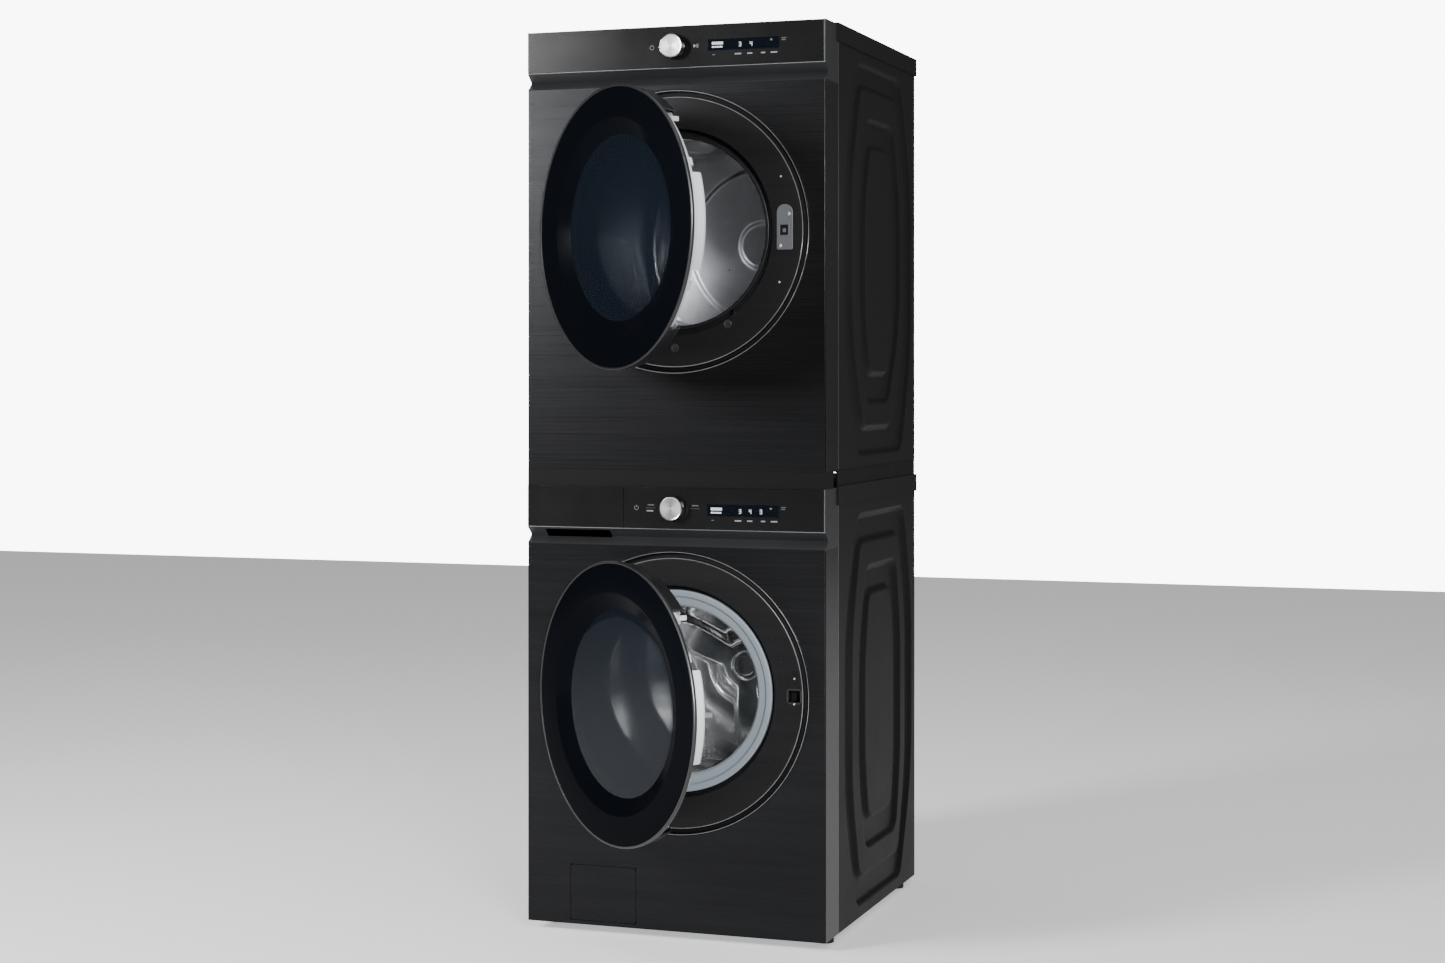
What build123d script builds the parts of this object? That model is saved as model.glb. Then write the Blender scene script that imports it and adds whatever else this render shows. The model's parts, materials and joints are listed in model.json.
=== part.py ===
from build123d import *
import os
from math import cos, radians, sin

# A washing machine with a clothes dryer stacked on it. Millimetres, +Z up, +X to the right of
# someone facing the doors, +Y to the back. The origin is on the floor below the stack.
#
# Each machine is drawn in its own frame: x across, d = depth behind the front panel's face,
# h = height above the machine's underside. A door is drawn in the frame of its own glass:
# x across, b = depth behind the glass, z up from the door's centre.

# Driving dimensions
FRONT_W = 686.0          # 27 in cabinet
FRONT_Y = -186.86        # face of both front panels
CABINET_D = 746.0        # front panel to rear panel
MACHINE_H = 964.0        # underside to the lid's top
FOOT_H = 20.0
KIT_H = 34.0             # stacking kit between the machines
SEAM_D = 96.0            # where the front panel's returns meet the side panels
SKIN = 1.5               # painted sheet
PANEL_H = 833.0          # top of the front panel
GROOVE_D = 21.0          # finger groove between the front panel and the controls
GROOVE_H = 850.5
CONTROL_H = 870.0        # bottom of the control panel
CONTROL_TOP = 961.0
GLASS_T = 4.0
LID_D = 84.0             # front edge of the lid
LID_BAND = 40.0
LID_HALF_W = 346.5
LID_BACK = 9.0           # the lid stands out behind the rear panel
RING_H = 515.0           # centre of both doors
RING_HOLE_R = 305.0
DOOR_R = 299.3
DOOR_FRONT = 45.0        # the closed door's glass stands in front of the panel
DOOR_DEPTH = 39.0
PIVOT = (-272.0, -31.0)  # hinge axis, x and d
WASHER_OPEN = 35.8       # rest angles of the doors
DRYER_OPEN = 36.4
PIN_R = 4.0
RUN = 0.05               # running clearance on shafts and pins
AXIS_H = 519.0           # the washer's tub, drum and gasket
WASHER_DRUM_R = 262.0
TUB_R = 290.0
DRYER_DRUM_R = 300.0
ROLLER_R = 30.0
ROLLER_GAP = 0.4
PULLEY_R = 12.0
MOTOR_X = 170.0
MOTOR_H = 110.0
DIAL_H = 915.5
DIAL_R = 27.0
DRAWER_X = -117.5        # right end of the detergent drawer's front
EXHAUST_R = 50.0
INLET_R = 13.2

HALF_W = FRONT_W / 2
INNER_W = HALF_W - SKIN
BASE_RIM = 24.0
WASHER_Z = FOOT_H
DRYER_Z = FOOT_H + MACHINE_H + KIT_H

WASHER = Plane(origin=(0, FRONT_Y, WASHER_Z))
DRYER = Plane(origin=(0, FRONT_Y, DRYER_Z))


# Helpers that work inside a BuildPart block, in a frame that is a Plane

def spin(frame, outline, mode=Mode.ADD):
    """Turn (radius, depth) points about the frame's depth axis."""
    with BuildSketch(frame) as face:
        with BuildLine():
            Polyline(*outline, close=True)
        make_face()
    revolve(face.sketch, axis=Axis(frame.origin, frame.y_dir), mode=mode)


def block(frame, x, d, h, mode=Mode.ADD):
    """Make a box between (low, high) limits."""
    with BuildSketch(frame.offset(h[0])) as face:
        with Locations(((x[0] + x[1]) / 2, (d[0] + d[1]) / 2)):
            Rectangle(x[1] - x[0], d[1] - d[0])
    extrude(face.sketch, amount=h[1] - h[0], mode=mode)


def facing(frame, d):
    """The plane at depth d that looks out of the front: local x across, local y up."""
    return Plane(origin=frame.from_local_coords((0, d, 0)), x_dir=frame.x_dir, z_dir=-frame.y_dir)


def sector(frame, r, angles, d, mode=Mode.ADD):
    """Make a ring sector about the depth axis, its angles counted from +x towards up."""
    with BuildSketch(facing(frame, d[1])) as face:
        with BuildLine():
            outer = CenterArc((0, 0), r[1], angles[0], angles[1] - angles[0])
            inner = CenterArc((0, 0), r[0], angles[0], angles[1] - angles[0])
            Line(outer @ 0, inner @ 0)
            Line(outer @ 1, inner @ 1)
        make_face()
    extrude(face.sketch, amount=d[1] - d[0], mode=mode)


def rod(frame, centre, r, d, mode=Mode.ADD):
    """Make a cylinder along the depth axis, centred at (x, h)."""
    with BuildSketch(facing(frame, d[1])) as face:
        with Locations(centre):
            Circle(r)
    extrude(face.sketch, amount=d[1] - d[0], mode=mode)


def post(frame, centre, r, h, mode=Mode.ADD):
    """Make an upright cylinder, centred at (x, d)."""
    with BuildSketch(frame.offset(h[0])) as face:
        with Locations(centre):
            Circle(r)
    extrude(face.sketch, amount=h[1] - h[0], mode=mode)


def beam(frame, outline, x, mode=Mode.ADD):
    """Run a (depth, height) outline across from x[0] to x[1]."""
    side = Plane(origin=frame.from_local_coords((x[0], 0, 0)), x_dir=frame.y_dir, z_dir=frame.x_dir)
    with BuildSketch(side) as face:
        with BuildLine():
            Polyline(*outline, close=True)
        make_face()
    extrude(face.sketch, amount=x[1] - x[0], mode=mode)


def save(piece, name):
    """Label a finished piece and write it."""
    piece.part.label = name
    export_step(piece.part, f"parts/{name}.step")


def door_frame(machine, angle):
    """The frame of a door's glass, swung open by angle about its hinge."""
    ring = machine.offset(RING_H)
    reach, back = -PIVOT[0], -DOOR_FRONT - PIVOT[1]
    turn = radians(angle)
    centre = (
        PIVOT[0] + reach * cos(turn) + back * sin(turn),
        PIVOT[1] - reach * sin(turn) + back * cos(turn),
        0,
    )
    return Plane(origin=ring.from_local_coords(centre), x_dir=(cos(turn), -sin(turn), 0), z_dir=(0, 0, 1))


# Cabinet sheets, the same for both machines

def base(machine, name, notch=None):
    """A folded floor pan, whose front fold can be cut away over a width."""
    with BuildPart() as pan:
        block(machine, (-INNER_W, INNER_W), (SKIN, CABINET_D - SKIN), (0, BASE_RIM))
        block(machine, (3 - INNER_W, INNER_W - 3), (SKIN + 3, CABINET_D - SKIN - 3), (3, BASE_RIM + 1),
              mode=Mode.SUBTRACT)
        if notch:
            block(machine, notch, (0, 12), (3, BASE_RIM + 1), mode=Mode.SUBTRACT)
    save(pan, name)


def side_panels(machine, name):
    """Two flat sheets behind the front panel's returns."""
    with BuildPart() as sides:
        for x in ((INNER_W, HALF_W), (-HALF_W, -INNER_W)):
            block(machine, x, (SEAM_D, CABINET_D), (0, CONTROL_TOP - 3))
    save(sides, name)


def rear_panel(machine, name, holes, windows):
    """The back sheet, with round holes (x, h, r) and square ones (x, h limits), and vent slots."""
    with BuildPart() as rear:
        block(machine, (-INNER_W, INNER_W), (CABINET_D - SKIN, CABINET_D), (0, CONTROL_TOP - 3))
        for x, h, r in holes:
            rod(machine, (x, h), r, (CABINET_D - 2 * SKIN, CABINET_D + SKIN), mode=Mode.SUBTRACT)
        for x, h in windows:
            block(machine, x, (CABINET_D - 2 * SKIN, CABINET_D + SKIN), h, mode=Mode.SUBTRACT)
        for slot in range(8):
            low = 560 + 22 * slot
            block(machine, (-260, -140), (CABINET_D - 2 * SKIN, CABINET_D + SKIN), (low, low + 6),
                  mode=Mode.SUBTRACT)
    save(rear, name)


def top_lid(machine, name):
    """A flat lid whose bands come down over the side and rear panels."""
    with BuildPart() as lid:
        block(machine, (-LID_HALF_W, LID_HALF_W), (LID_D, CABINET_D + LID_BACK),
              (MACHINE_H - LID_BAND, MACHINE_H))
        fillet(lid.edges().filter_by(Axis.Z), 3)
        block(machine, (-HALF_W - 0.3, HALF_W + 0.3), (LID_D - 1, CABINET_D + LID_BACK - 3),
              (MACHINE_H - LID_BAND - 1, CONTROL_TOP), mode=Mode.SUBTRACT)
    save(lid, name)


def front_panel(machine, name, flap_hole=None):
    """The front sheet, folded back at both sides, with a turned-in edge round the door's hole."""
    ring = machine.offset(RING_H)
    with BuildPart() as front:
        block(machine, (-HALF_W, HALF_W), (0, SEAM_D), (0, PANEL_H))
        fillet(front.edges().filter_by(Axis.Z).group_by(Axis.Y)[0], 3)
        block(machine, (-INNER_W, INNER_W), (SKIN, SEAM_D + 1), (-1, PANEL_H - SKIN), mode=Mode.SUBTRACT)
        sector(ring, (RING_HOLE_R - 1, RING_HOLE_R + SKIN), (0, 359.99), (0, 12))
        rod(ring, (0, 0), RING_HOLE_R, (-1, 13), mode=Mode.SUBTRACT)
        if flap_hole:
            block(machine, flap_hole[0], (-1, 2 * SKIN), flap_hole[1], mode=Mode.SUBTRACT)
    save(front, name)


def control_housing(machine, name, drawer_hole):
    """The folded control housing: finger groove, ends and top, open at the back."""
    groove = (GROOVE_D, GROOVE_H)
    with BuildPart() as housing:
        beam(machine, [(0, PANEL_H), groove, (0, CONTROL_H - 1), (0, CONTROL_H), (GLASS_T, CONTROL_H),
                       (GLASS_T, CONTROL_TOP), (SEAM_D, CONTROL_TOP), (SEAM_D, PANEL_H)],
             (-HALF_W, HALF_W))
        beam(machine, [(3.5, PANEL_H + 2), (GROOVE_D + 3, GROOVE_H), (GLASS_T + 2, CONTROL_H - 3),
                       (GLASS_T + 2, CONTROL_TOP - 2), (SEAM_D + 1, CONTROL_TOP - 2),
                       (SEAM_D + 1, PANEL_H + 2)],
             (2 - HALF_W, HALF_W - 2), mode=Mode.SUBTRACT)
        for x in ((HALF_W - 2.5, HALF_W), (-HALF_W, 1 - HALF_W)):
            block(machine, x, (0, GLASS_T), (CONTROL_H, CONTROL_TOP))
        rod(machine, (0, DIAL_H), 6, (GLASS_T - 1, GLASS_T + 3), mode=Mode.SUBTRACT)
        if drawer_hole:
            block(machine, (-331, -127), (GLASS_T - 1, GLASS_T + 3), (872, 958), mode=Mode.SUBTRACT)
            block(machine, (-303, -150), (5, GROOVE_D + 4), (848, 872), mode=Mode.SUBTRACT)
    save(housing, name)


def control_glass(machine, name, left):
    """The black control panel, from x = left to the right end."""
    with BuildPart() as glass:
        block(machine, (left, HALF_W - 3), (0, GLASS_T), (CONTROL_H + 0.5, CONTROL_TOP - 0.5))
        rod(machine, (0, DIAL_H), PIN_R + RUN, (-1, GLASS_T + 1), mode=Mode.SUBTRACT)
    save(glass, name)


def dial(machine, name):
    """The programme knob on its encoder shaft."""
    knob_frame = machine.offset(DIAL_H)
    with BuildPart() as knob:
        spin(knob_frame, [(0, -21), (25, -21), (26.2, -20), (DIAL_R, -5), (DIAL_R, -0.6),
                          (PIN_R, -0.6), (PIN_R, 18), (0, 18)])
    save(knob, name)


# Doors

def door_glass(frame, name):
    """The flat black outer glass with its set-back window."""
    with BuildPart() as glass:
        spin(frame, [(293.5, 0), (293.5, GLASS_T), (233, GLASS_T), (200, 21), (0, 21), (0, 17),
                     (197, 17), (232, 0)])
    save(glass, name)


def door_rim(frame, name, handle):
    """The door's outer band, cut away at the right for the hand and at the left for the hinge."""
    with BuildPart() as rim:
        spin(frame, [(294, 0), (DOOR_R, 0), (DOOR_R, 6), (293, DOOR_DEPTH), (283, DOOR_DEPTH),
                     (283, 36.5), (290.7, 36.5), (296.3, 6.5), (294, 6.5)])
        sector(frame, (270, 310), handle, (6.5, DOOR_DEPTH + 1), mode=Mode.SUBTRACT)
        block(frame, (-310, -250), (6.5, DOOR_DEPTH + 1), (-66, 66), mode=Mode.SUBTRACT)
    save(rim, name)


def door_liner(frame, name, handle, bowl_r, grip_r, strike):
    """The pale inner moulding that carries the inner glass, the grip and the latch."""
    with BuildPart() as liner:
        sector(frame, (239, 283), (handle[1], handle[0] + 360), (36, DOOR_DEPTH))
        spin(frame, [(236, 4.2), (293, 4.2), (293, 8), (239, 8), (239, DOOR_DEPTH),
                     (bowl_r, DOOR_DEPTH), (bowl_r, 36), (236, 36)])
        sector(frame, (237, grip_r), (-20, 20), (8, DOOR_DEPTH + 2))
        block(frame, (-310, -204), (8, DOOR_DEPTH + 1), (-66, 66), mode=Mode.SUBTRACT)
        block(frame, (-310, -250), (4, 9), (-66, 66), mode=Mode.SUBTRACT)
        if strike:
            sector(frame, (284, 288), (handle[0] + 1, handle[1] - 1), (7, 20))
            block(frame, (246, 255), (DOOR_DEPTH - 1, 62), (-6, 6))
    save(liner, name)


def hinge_leaf(frame, name):
    """The moving leaf: a barrel on the pin and a plate screwed to the liner."""
    barrel = (PIVOT[0], DOOR_FRONT + PIVOT[1])
    with BuildPart() as leaf:
        post(frame, barrel, 7, (-40, 40))
        block(frame, (-267, -238), (8, 11), (-40, 40))
        post(frame, barrel, PIN_R + RUN, (-41, 41), mode=Mode.SUBTRACT)
    save(leaf, name)


def hinge_brackets(name):
    """Both machines' fixed hinge brackets, each with its pin."""
    arm = [(-268.5, -34.6), (-229, 0), (-229, 1), (-247, 1), (-247, 0), (-275.5, -27.4)]
    with BuildPart() as brackets:
        for machine in (WASHER, DRYER):
            ring = machine.offset(RING_H)
            block(ring, (-262, -212), (0, 3), (-60, 60))
            for low in (-57, 41):
                post(ring, PIVOT, 7.5, (low, low + 16))
                with BuildSketch(ring.offset(low)) as side:
                    with BuildLine():
                        Polyline(*arm, close=True)
                    make_face()
                extrude(side.sketch, amount=16)
            post(ring, PIVOT, PIN_R, (-57, 57))
    save(brackets, name)


# Washer

def washer_surround():
    """The plate round the washer's opening, with the lock slot."""
    ring = WASHER.offset(RING_H)
    mouth = WASHER.offset(AXIS_H)
    with BuildPart() as plate:
        spin(ring, [(215, 3), (292, 3), (292, 12), (314, 12), (314, 14), (290, 14), (290, 5), (215, 5)])
        spin(mouth, [(227, 3), (230, 3), (230, 20), (227, 20)])
        rod(mouth, (0, 0), 228, (2, 21), mode=Mode.SUBTRACT)
        block(ring, (257, 286), (2, 6), (-8.5, 17.5), mode=Mode.SUBTRACT)
        rod(ring, (272.7, 55), 4.5, (2, 6), mode=Mode.SUBTRACT)
    save(plate, "washer_door_surround")


def washer_lock():
    """The door lock behind its slot."""
    ring = WASHER.offset(RING_H)
    with BuildPart() as lock:
        block(ring, (250, 287), (5, 40), (-32, 36))
        block(ring, (257, 286), (4, 34), (-8.5, 17.5), mode=Mode.SUBTRACT)
    save(lock, "washer_door_lock")


def washer_hook(frame):
    """The steel hook that the lock takes."""
    with BuildPart() as hook:
        block(frame, (268.7, 276), (20, DOOR_DEPTH), (-4, 13))
        block(frame, (269, 274), (DOOR_DEPTH - 1, 60), (0, 9))
    save(hook, "washer_door_hook")


def washer_bowl(frame):
    """The clear bowl that fills the gasket's mouth when the door is shut."""
    with BuildPart() as bowl:
        spin(frame, [(178, 32), (178, 36), (170, 36), (168, 60), (165, 81), (158, 110), (150, 128),
                     (135, 140), (100, 143), (0, 143), (0, 139), (98, 139), (132, 136), (146, 126),
                     (154, 108), (161, 80), (164, 60), (166, 32)])
    save(bowl, "washer_door_bowl")


def gasket():
    """The rubber bellows from the surround to the tub."""
    with BuildPart() as bellows:
        spin(WASHER.offset(AXIS_H), [
            (219, 12), (203, 18), (200, 24), (184, 30), (181, 36), (185, 40), (203, 36), (203, 58),
            (193, 64), (193, 82), (204, 88), (204, 117), (208, 117), (208, 85), (197, 79), (197, 67),
            (207, 61), (207, 30), (232, 24), (232, 20), (219, 20)])
    save(bellows, "washer_gasket")


def tub():
    """The outer tub with its bearing hub."""
    with BuildPart() as shell:
        spin(WASHER.offset(AXIS_H), [
            (200, 106), (204, 106), (204, 118), (TUB_R, 118), (TUB_R, 566), (45, 566), (45, 612),
            (31, 612), (31, 560), (TUB_R - 5, 560), (TUB_R - 5, 123), (200, 123)])
    save(shell, "washer_tub")


def counterweight():
    """The block that steadies the tub."""
    with BuildPart() as weight:
        block(WASHER, (-110, 110), (130, 300), (760, 845))
        rod(WASHER.offset(AXIS_H), (0, 0), TUB_R + 0.1, (129, 301), mode=Mode.SUBTRACT)
    save(weight, "washer_counterweight")


def washer_drum():
    """The wash drum: a pressed steel bowl open at the front."""
    r = WASHER_DRUM_R
    with BuildPart() as bowl:
        spin(WASHER.offset(AXIS_H), [(205, 132), (r, 132), (r, 522), (0, 522), (0, 519),
                                     (r - 2.5, 519), (r - 2.5, 134.5), (205, 134.5)])
    save(bowl, "washer_drum")


def drum_lifters(machine, height, inner_r, d, angles, section, name):
    """Three lifters on a drum's wall; section is half base width, half crest width and height."""
    base_w, crest_w, tall = section
    foot = inner_r - 3.5
    with BuildPart() as lifters:
        for angle in angles:
            out = (cos(radians(angle)), 0, sin(radians(angle)))
            origin = machine.from_local_coords((0, d[1], height))
            wall = Plane(origin=origin, x_dir=out, z_dir=-machine.y_dir)
            with BuildSketch(wall) as side:
                with BuildLine():
                    Polyline((foot, -base_w), (foot, base_w), (foot - tall, crest_w),
                             (foot - tall, -crest_w), close=True)
                make_face()
            extrude(side.sketch, amount=d[1] - d[0])
    save(lifters, name)


def washer_shaft():
    """The drum's spider and shaft, with the motor's rotor cup on its end."""
    with BuildPart() as shaft:
        spin(WASHER.offset(AXIS_H), [
            (0, 522), (120, 522), (60, 545), (15, 545), (15, 625), (122, 625), (122, 572), (127, 572),
            (127, 629), (15, 629), (15, 650), (0, 650)])
    save(shaft, "washer_drum_shaft")


def tub_bearings():
    """Two ball bearing rings in the hub."""
    with BuildPart() as rings:
        for d in ((565, 580), (595, 610)):
            spin(WASHER.offset(AXIS_H), [(15 + RUN, d[0]), (31, d[0]), (31, d[1]), (15 + RUN, d[1])])
    save(rings, "washer_bearings")


def motor_stator():
    """The direct-drive motor's stator, with its teeth."""
    hub = WASHER.offset(AXIS_H)
    with BuildPart() as stator:
        spin(hub, [(45, 566), (90, 566), (90, 608), (45, 608)])
        for tooth in range(18):
            sector(hub, (89, 118), (20 * tooth - 6, 20 * tooth + 6), (574, 608))
    save(stator, "washer_motor_stator")


def suspension():
    """Cross beam, two hanging springs and four dampers."""
    with BuildPart() as hangers:
        block(WASHER, (-INNER_W, INNER_W), (360, 380), (930, 945))
        for x in (-150, 150):
            for turn in range(12):
                h = 782 + 11 * turn
                with BuildSketch(WASHER.offset(h)) as coil:
                    with Locations((x, 370)):
                        Circle(15)
                        Circle(9, mode=Mode.SUBTRACT)
                extrude(coil.sketch, amount=6)
            post(WASHER, (x, 370), 9, (774, 930))
            for d in (220, 460):
                post(WASHER, (x, d), 14, (3, 140))
                post(WASHER, (x, d), 8, (140, 262))
    save(hangers, "washer_suspension")


def drain_pump():
    """The drain pump with its screw-in filter cap behind the flap."""
    centre = (-164, 82)
    with BuildPart() as pump:
        rod(WASHER, centre, 32, (14, 28))
        block(WASHER, (-192, -136), (9, 14), (78, 86))
        rod(WASHER, centre, 29, (28, 120))
        rod(WASHER, centre, 24, (120, 175))
        block(WASHER, (-189, -139), (50, 110), (3, 60))
    save(pump, "washer_drain_pump")


def drain_flap():
    """The cover of the drain filter, hinged on a barrel behind its lower edge."""
    barrel = Plane(origin=WASHER.from_local_coords((-230, 3, 13.5)), x_dir=WASHER.y_dir, z_dir=WASHER.x_dir)
    with BuildPart() as flap:
        block(WASHER, (-240, -88), (0, SKIN), (9.5, 130))
        fillet(flap.edges().filter_by(Axis.Y), 5)
        with BuildSketch(barrel) as round_end:
            Circle(2)
        extrude(round_end.sketch, amount=132)
        block(WASHER, (-180, -148), (SKIN, 6), (122, 126))
    save(flap, "washer_drain_flap")


def detergent_drawer():
    """The drawer's front, its tray and the box that it slides in."""
    with BuildPart() as face:
        block(WASHER, (1.2 - HALF_W, DRAWER_X), (0, GLASS_T), (CONTROL_H + 0.5, CONTROL_TOP - 0.5))
    save(face, "washer_drawer_front")
    with BuildPart() as tray:
        block(WASHER, (-322, -136), (22, 330), (876, 940))
        for x in ((-319.5, -256), (-253, -138.5)):
            block(WASHER, x, (24.5, 327.5), (879, 941), mode=Mode.SUBTRACT)
        block(WASHER, (-322, -136), (GLASS_T, 22), (925, 940))
    save(tray, "washer_drawer_tray")
    with BuildPart() as box:
        block(WASHER, (-333, -125), (8, 345), (868, 957))
        block(WASHER, (-330, -128), (7, 343), (870.5, 955), mode=Mode.SUBTRACT)
        block(WASHER, (-303, -150), (7, GROOVE_D + 4), (867, 872), mode=Mode.SUBTRACT)
    save(box, "washer_drawer_housing")


def inlet_valves():
    """The two water inlets in their recess."""
    with BuildPart() as valves:
        block(WASHER, (30, 150), (690, 738), (840, 900))
        for x in (60, 120):
            rod(WASHER, (x, 870), INLET_R, (738, 752))
    save(valves, "washer_inlet_valves")


def feet():
    """Four levelling feet with their lock nuts."""
    with BuildPart() as legs:
        for x in (-311, 311):
            for d in (100, CABINET_D - 60):
                post(WASHER, (x, d), 20, (-FOOT_H, 8 - FOOT_H))
                post(WASHER, (x, d), 6, (8 - FOOT_H, 0))
                with BuildSketch(WASHER.offset(-6)) as nut:
                    with Locations((x, d)):
                        RegularPolygon(11, 6)
                extrude(nut.sketch, amount=6)
    save(legs, "washer_feet")


# Dryer

def dryer_surround():
    """The plate round the dryer's opening and the collar that leads into the drum."""
    ring = DRYER.offset(RING_H)
    with BuildPart() as plate:
        spin(ring, [(222, 3), (292, 3), (292, 12), (314, 12), (314, 14), (290, 14), (290, 5), (224, 5),
                    (224, 30), (205, 30), (205, 60), (203, 60), (203, 18), (211, 18), (211, 28), (222, 28)])
        block(ring, (237.5, 263.5), (2, 6), (-15.5, 15.5), mode=Mode.SUBTRACT)
        block(DRYER, (-122, 122), (22, 54), (270, 362), mode=Mode.SUBTRACT)
    save(plate, "dryer_door_surround")


def dryer_latch():
    """The catch plate, rounded at its top, with its pocket."""
    ring = DRYER.offset(RING_H)
    with BuildPart() as latch:
        block(ring, (233.6, 269.4), (1, 3), (-42, 37))
        rod(ring, (251.5, 37), 17.9, (1, 3))
        block(ring, (238, 263), (3, 25), (-15, 15))
        block(ring, (239.5, 261.5), (0, 23), (-13, 13), mode=Mode.SUBTRACT)
    save(latch, "dryer_latch_plate")


def dryer_inner_glass(frame):
    """The shallow inner glass."""
    with BuildPart() as glass:
        spin(frame, [(196, 32), (196, 36), (188, 36), (186, 48), (170, 55), (0, 57), (0, 53), (168, 51),
                     (182, 46), (184, 32)])
    save(glass, "dryer_door_inner_glass")


def dryer_drum():
    """The tumbling drum with its rear stub shaft."""
    r = DRYER_DRUM_R
    with BuildPart() as bowl:
        spin(DRYER.offset(RING_H), [(216, 64), (r, 96), (r, 640), (12, 640), (12, 672), (0, 672),
                                    (0, 637), (r - 2.5, 637), (r - 2.5, 97.5), (216, 66.5)])
    save(bowl, "dryer_drum")


def drum_supports():
    """The rear plate with the drum's bearing, and the front plate with the roller axles."""
    ring = DRYER.offset(RING_H)
    with BuildPart() as plates:
        block(DRYER, (-329, 329), (660, 663), (BASE_RIM, 940))
        rod(ring, (0, 0), 28, (648, 672))
        rod(ring, (0, 0), 12 + RUN, (640, 680), mode=Mode.SUBTRACT)
        rod(DRYER, (0, MOTOR_H), EXHAUST_R + 1, (650, 680), mode=Mode.SUBTRACT)
        block(DRYER, (-330, 330), (108, 111), (3, 250))
        rod(ring, (0, 0), DRYER_DRUM_R + 6, (100, 120), mode=Mode.SUBTRACT)
        rod(DRYER, (MOTOR_X, MOTOR_H), 46, (100, 120), mode=Mode.SUBTRACT)
        for centre in roller_centres():
            rod(ring, centre, 8, (108, 150))
    save(plates, "dryer_drum_supports")


def roller_centres():
    """Both rollers' centres, 30 degrees each side of straight down from the drum's axis."""
    reach = DRYER_DRUM_R + ROLLER_R + ROLLER_GAP
    return [(side * reach * sin(radians(30)), -reach * cos(radians(30))) for side in (-1, 1)]


def rollers():
    """The two front support rollers, a node each."""
    ring = DRYER.offset(RING_H)
    for centre, side in zip(roller_centres(), ("left", "right")):
        with BuildPart() as roller:
            rod(ring, centre, ROLLER_R, (118, 142))
            rod(ring, centre, 8 + RUN, (117, 143), mode=Mode.SUBTRACT)
        save(roller, f"dryer_roller_{side}")


def belt():
    """The drive belt, round the drum and the motor's pulley."""
    ring = DRYER.offset(RING_H)
    pulley = (MOTOR_X, MOTOR_H - RING_H)
    with BuildPart() as loop:
        for grow, mode in ((3.4, Mode.ADD), (0.4, Mode.SUBTRACT)):
            with BuildSketch(facing(ring, 505)) as outline:
                Circle(DRYER_DRUM_R + grow)
                with Locations(pulley):
                    Circle(PULLEY_R + grow)
                make_hull()
            extrude(outline.sketch, amount=10, mode=mode)
    save(loop, "dryer_belt")


def dryer_motor():
    """The motor body on its foot, and its shaft with pulley and blower wheel."""
    axis = Plane(origin=DRYER.from_local_coords((MOTOR_X, 0, MOTOR_H)))
    with BuildPart() as motor:
        spin(axis, [(7 + RUN, 330), (52, 330), (60, 340), (60, 470), (52, 480), (7 + RUN, 480)])
        block(DRYER, (120, 220), (345, 465), (3, 60))
        rod(axis, (0, 0), 7 + RUN, (329, 481), mode=Mode.SUBTRACT)
    save(motor, "dryer_motor")
    with BuildPart() as shaft:
        spin(axis, [(0, 236), (75, 236), (75, 240), (20, 240), (20, 250), (7, 250), (7, 490),
                    (PULLEY_R, 490), (PULLEY_R, 512), (0, 512)])
        for blade in range(12):
            sector(axis, (45, 74), (30 * blade, 30 * blade + 4), (239, 285))
    save(shaft, "dryer_motor_shaft")


def air_duct():
    """Lint filter well, suction pipe, blower housing and exhaust pipe."""
    ring = DRYER.offset(RING_H)
    with BuildPart() as duct:
        block(DRYER, (-120, 120), (24, 52), (170, 352))
        block(DRYER, (-120, 240), (24, 64), (58, 180))
        rod(DRYER, (MOTOR_X, MOTOR_H), 45, (64, 215))
        block(DRYER, (-60, 258), (215, 305), (22, 198))
        rod(DRYER, (0, MOTOR_H), EXHAUST_R, (305, CABINET_D + LID_BACK))
        rod(ring, (0, 0), 203.2, (20, 60), mode=Mode.SUBTRACT)
        block(DRYER, (-118, 118), (26, 50), (168, 353), mode=Mode.SUBTRACT)
        block(DRYER, (-118, 238), (26, 62), (60, 178), mode=Mode.SUBTRACT)
        rod(DRYER, (MOTOR_X, MOTOR_H), 43, (60, 220), mode=Mode.SUBTRACT)
        block(DRYER, (-58, 256), (217, 303), (24, 196), mode=Mode.SUBTRACT)
        rod(DRYER, (0, MOTOR_H), EXHAUST_R - 1.5, (300, CABINET_D + LID_BACK + 1), mode=Mode.SUBTRACT)
        rod(DRYER, (MOTOR_X, MOTOR_H), 9, (300, 310), mode=Mode.SUBTRACT)
    save(duct, "dryer_air_duct")


def lint_filter():
    """The lint filter's frame, which lifts out of its well."""
    ring = DRYER.offset(RING_H)
    with BuildPart() as screen:
        block(DRYER, (-110, 110), (29, 47), (100, 350))
        rod(ring, (0, 0), 205, (20, 60), mode=Mode.SUBTRACT)
        for x in ((-104, -3), (3, 104)):
            block(DRYER, x, (33, 43), (106, 285), mode=Mode.SUBTRACT)
            block(DRYER, (x[0] + 6, x[1] - 6), (28, 48), (112, 280), mode=Mode.SUBTRACT)
        for x in ((-104, -3), (3, 104)):
            block(DRYER, x, (37.5, 38.5), (106, 285))
    save(screen, "dryer_lint_filter")


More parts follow.
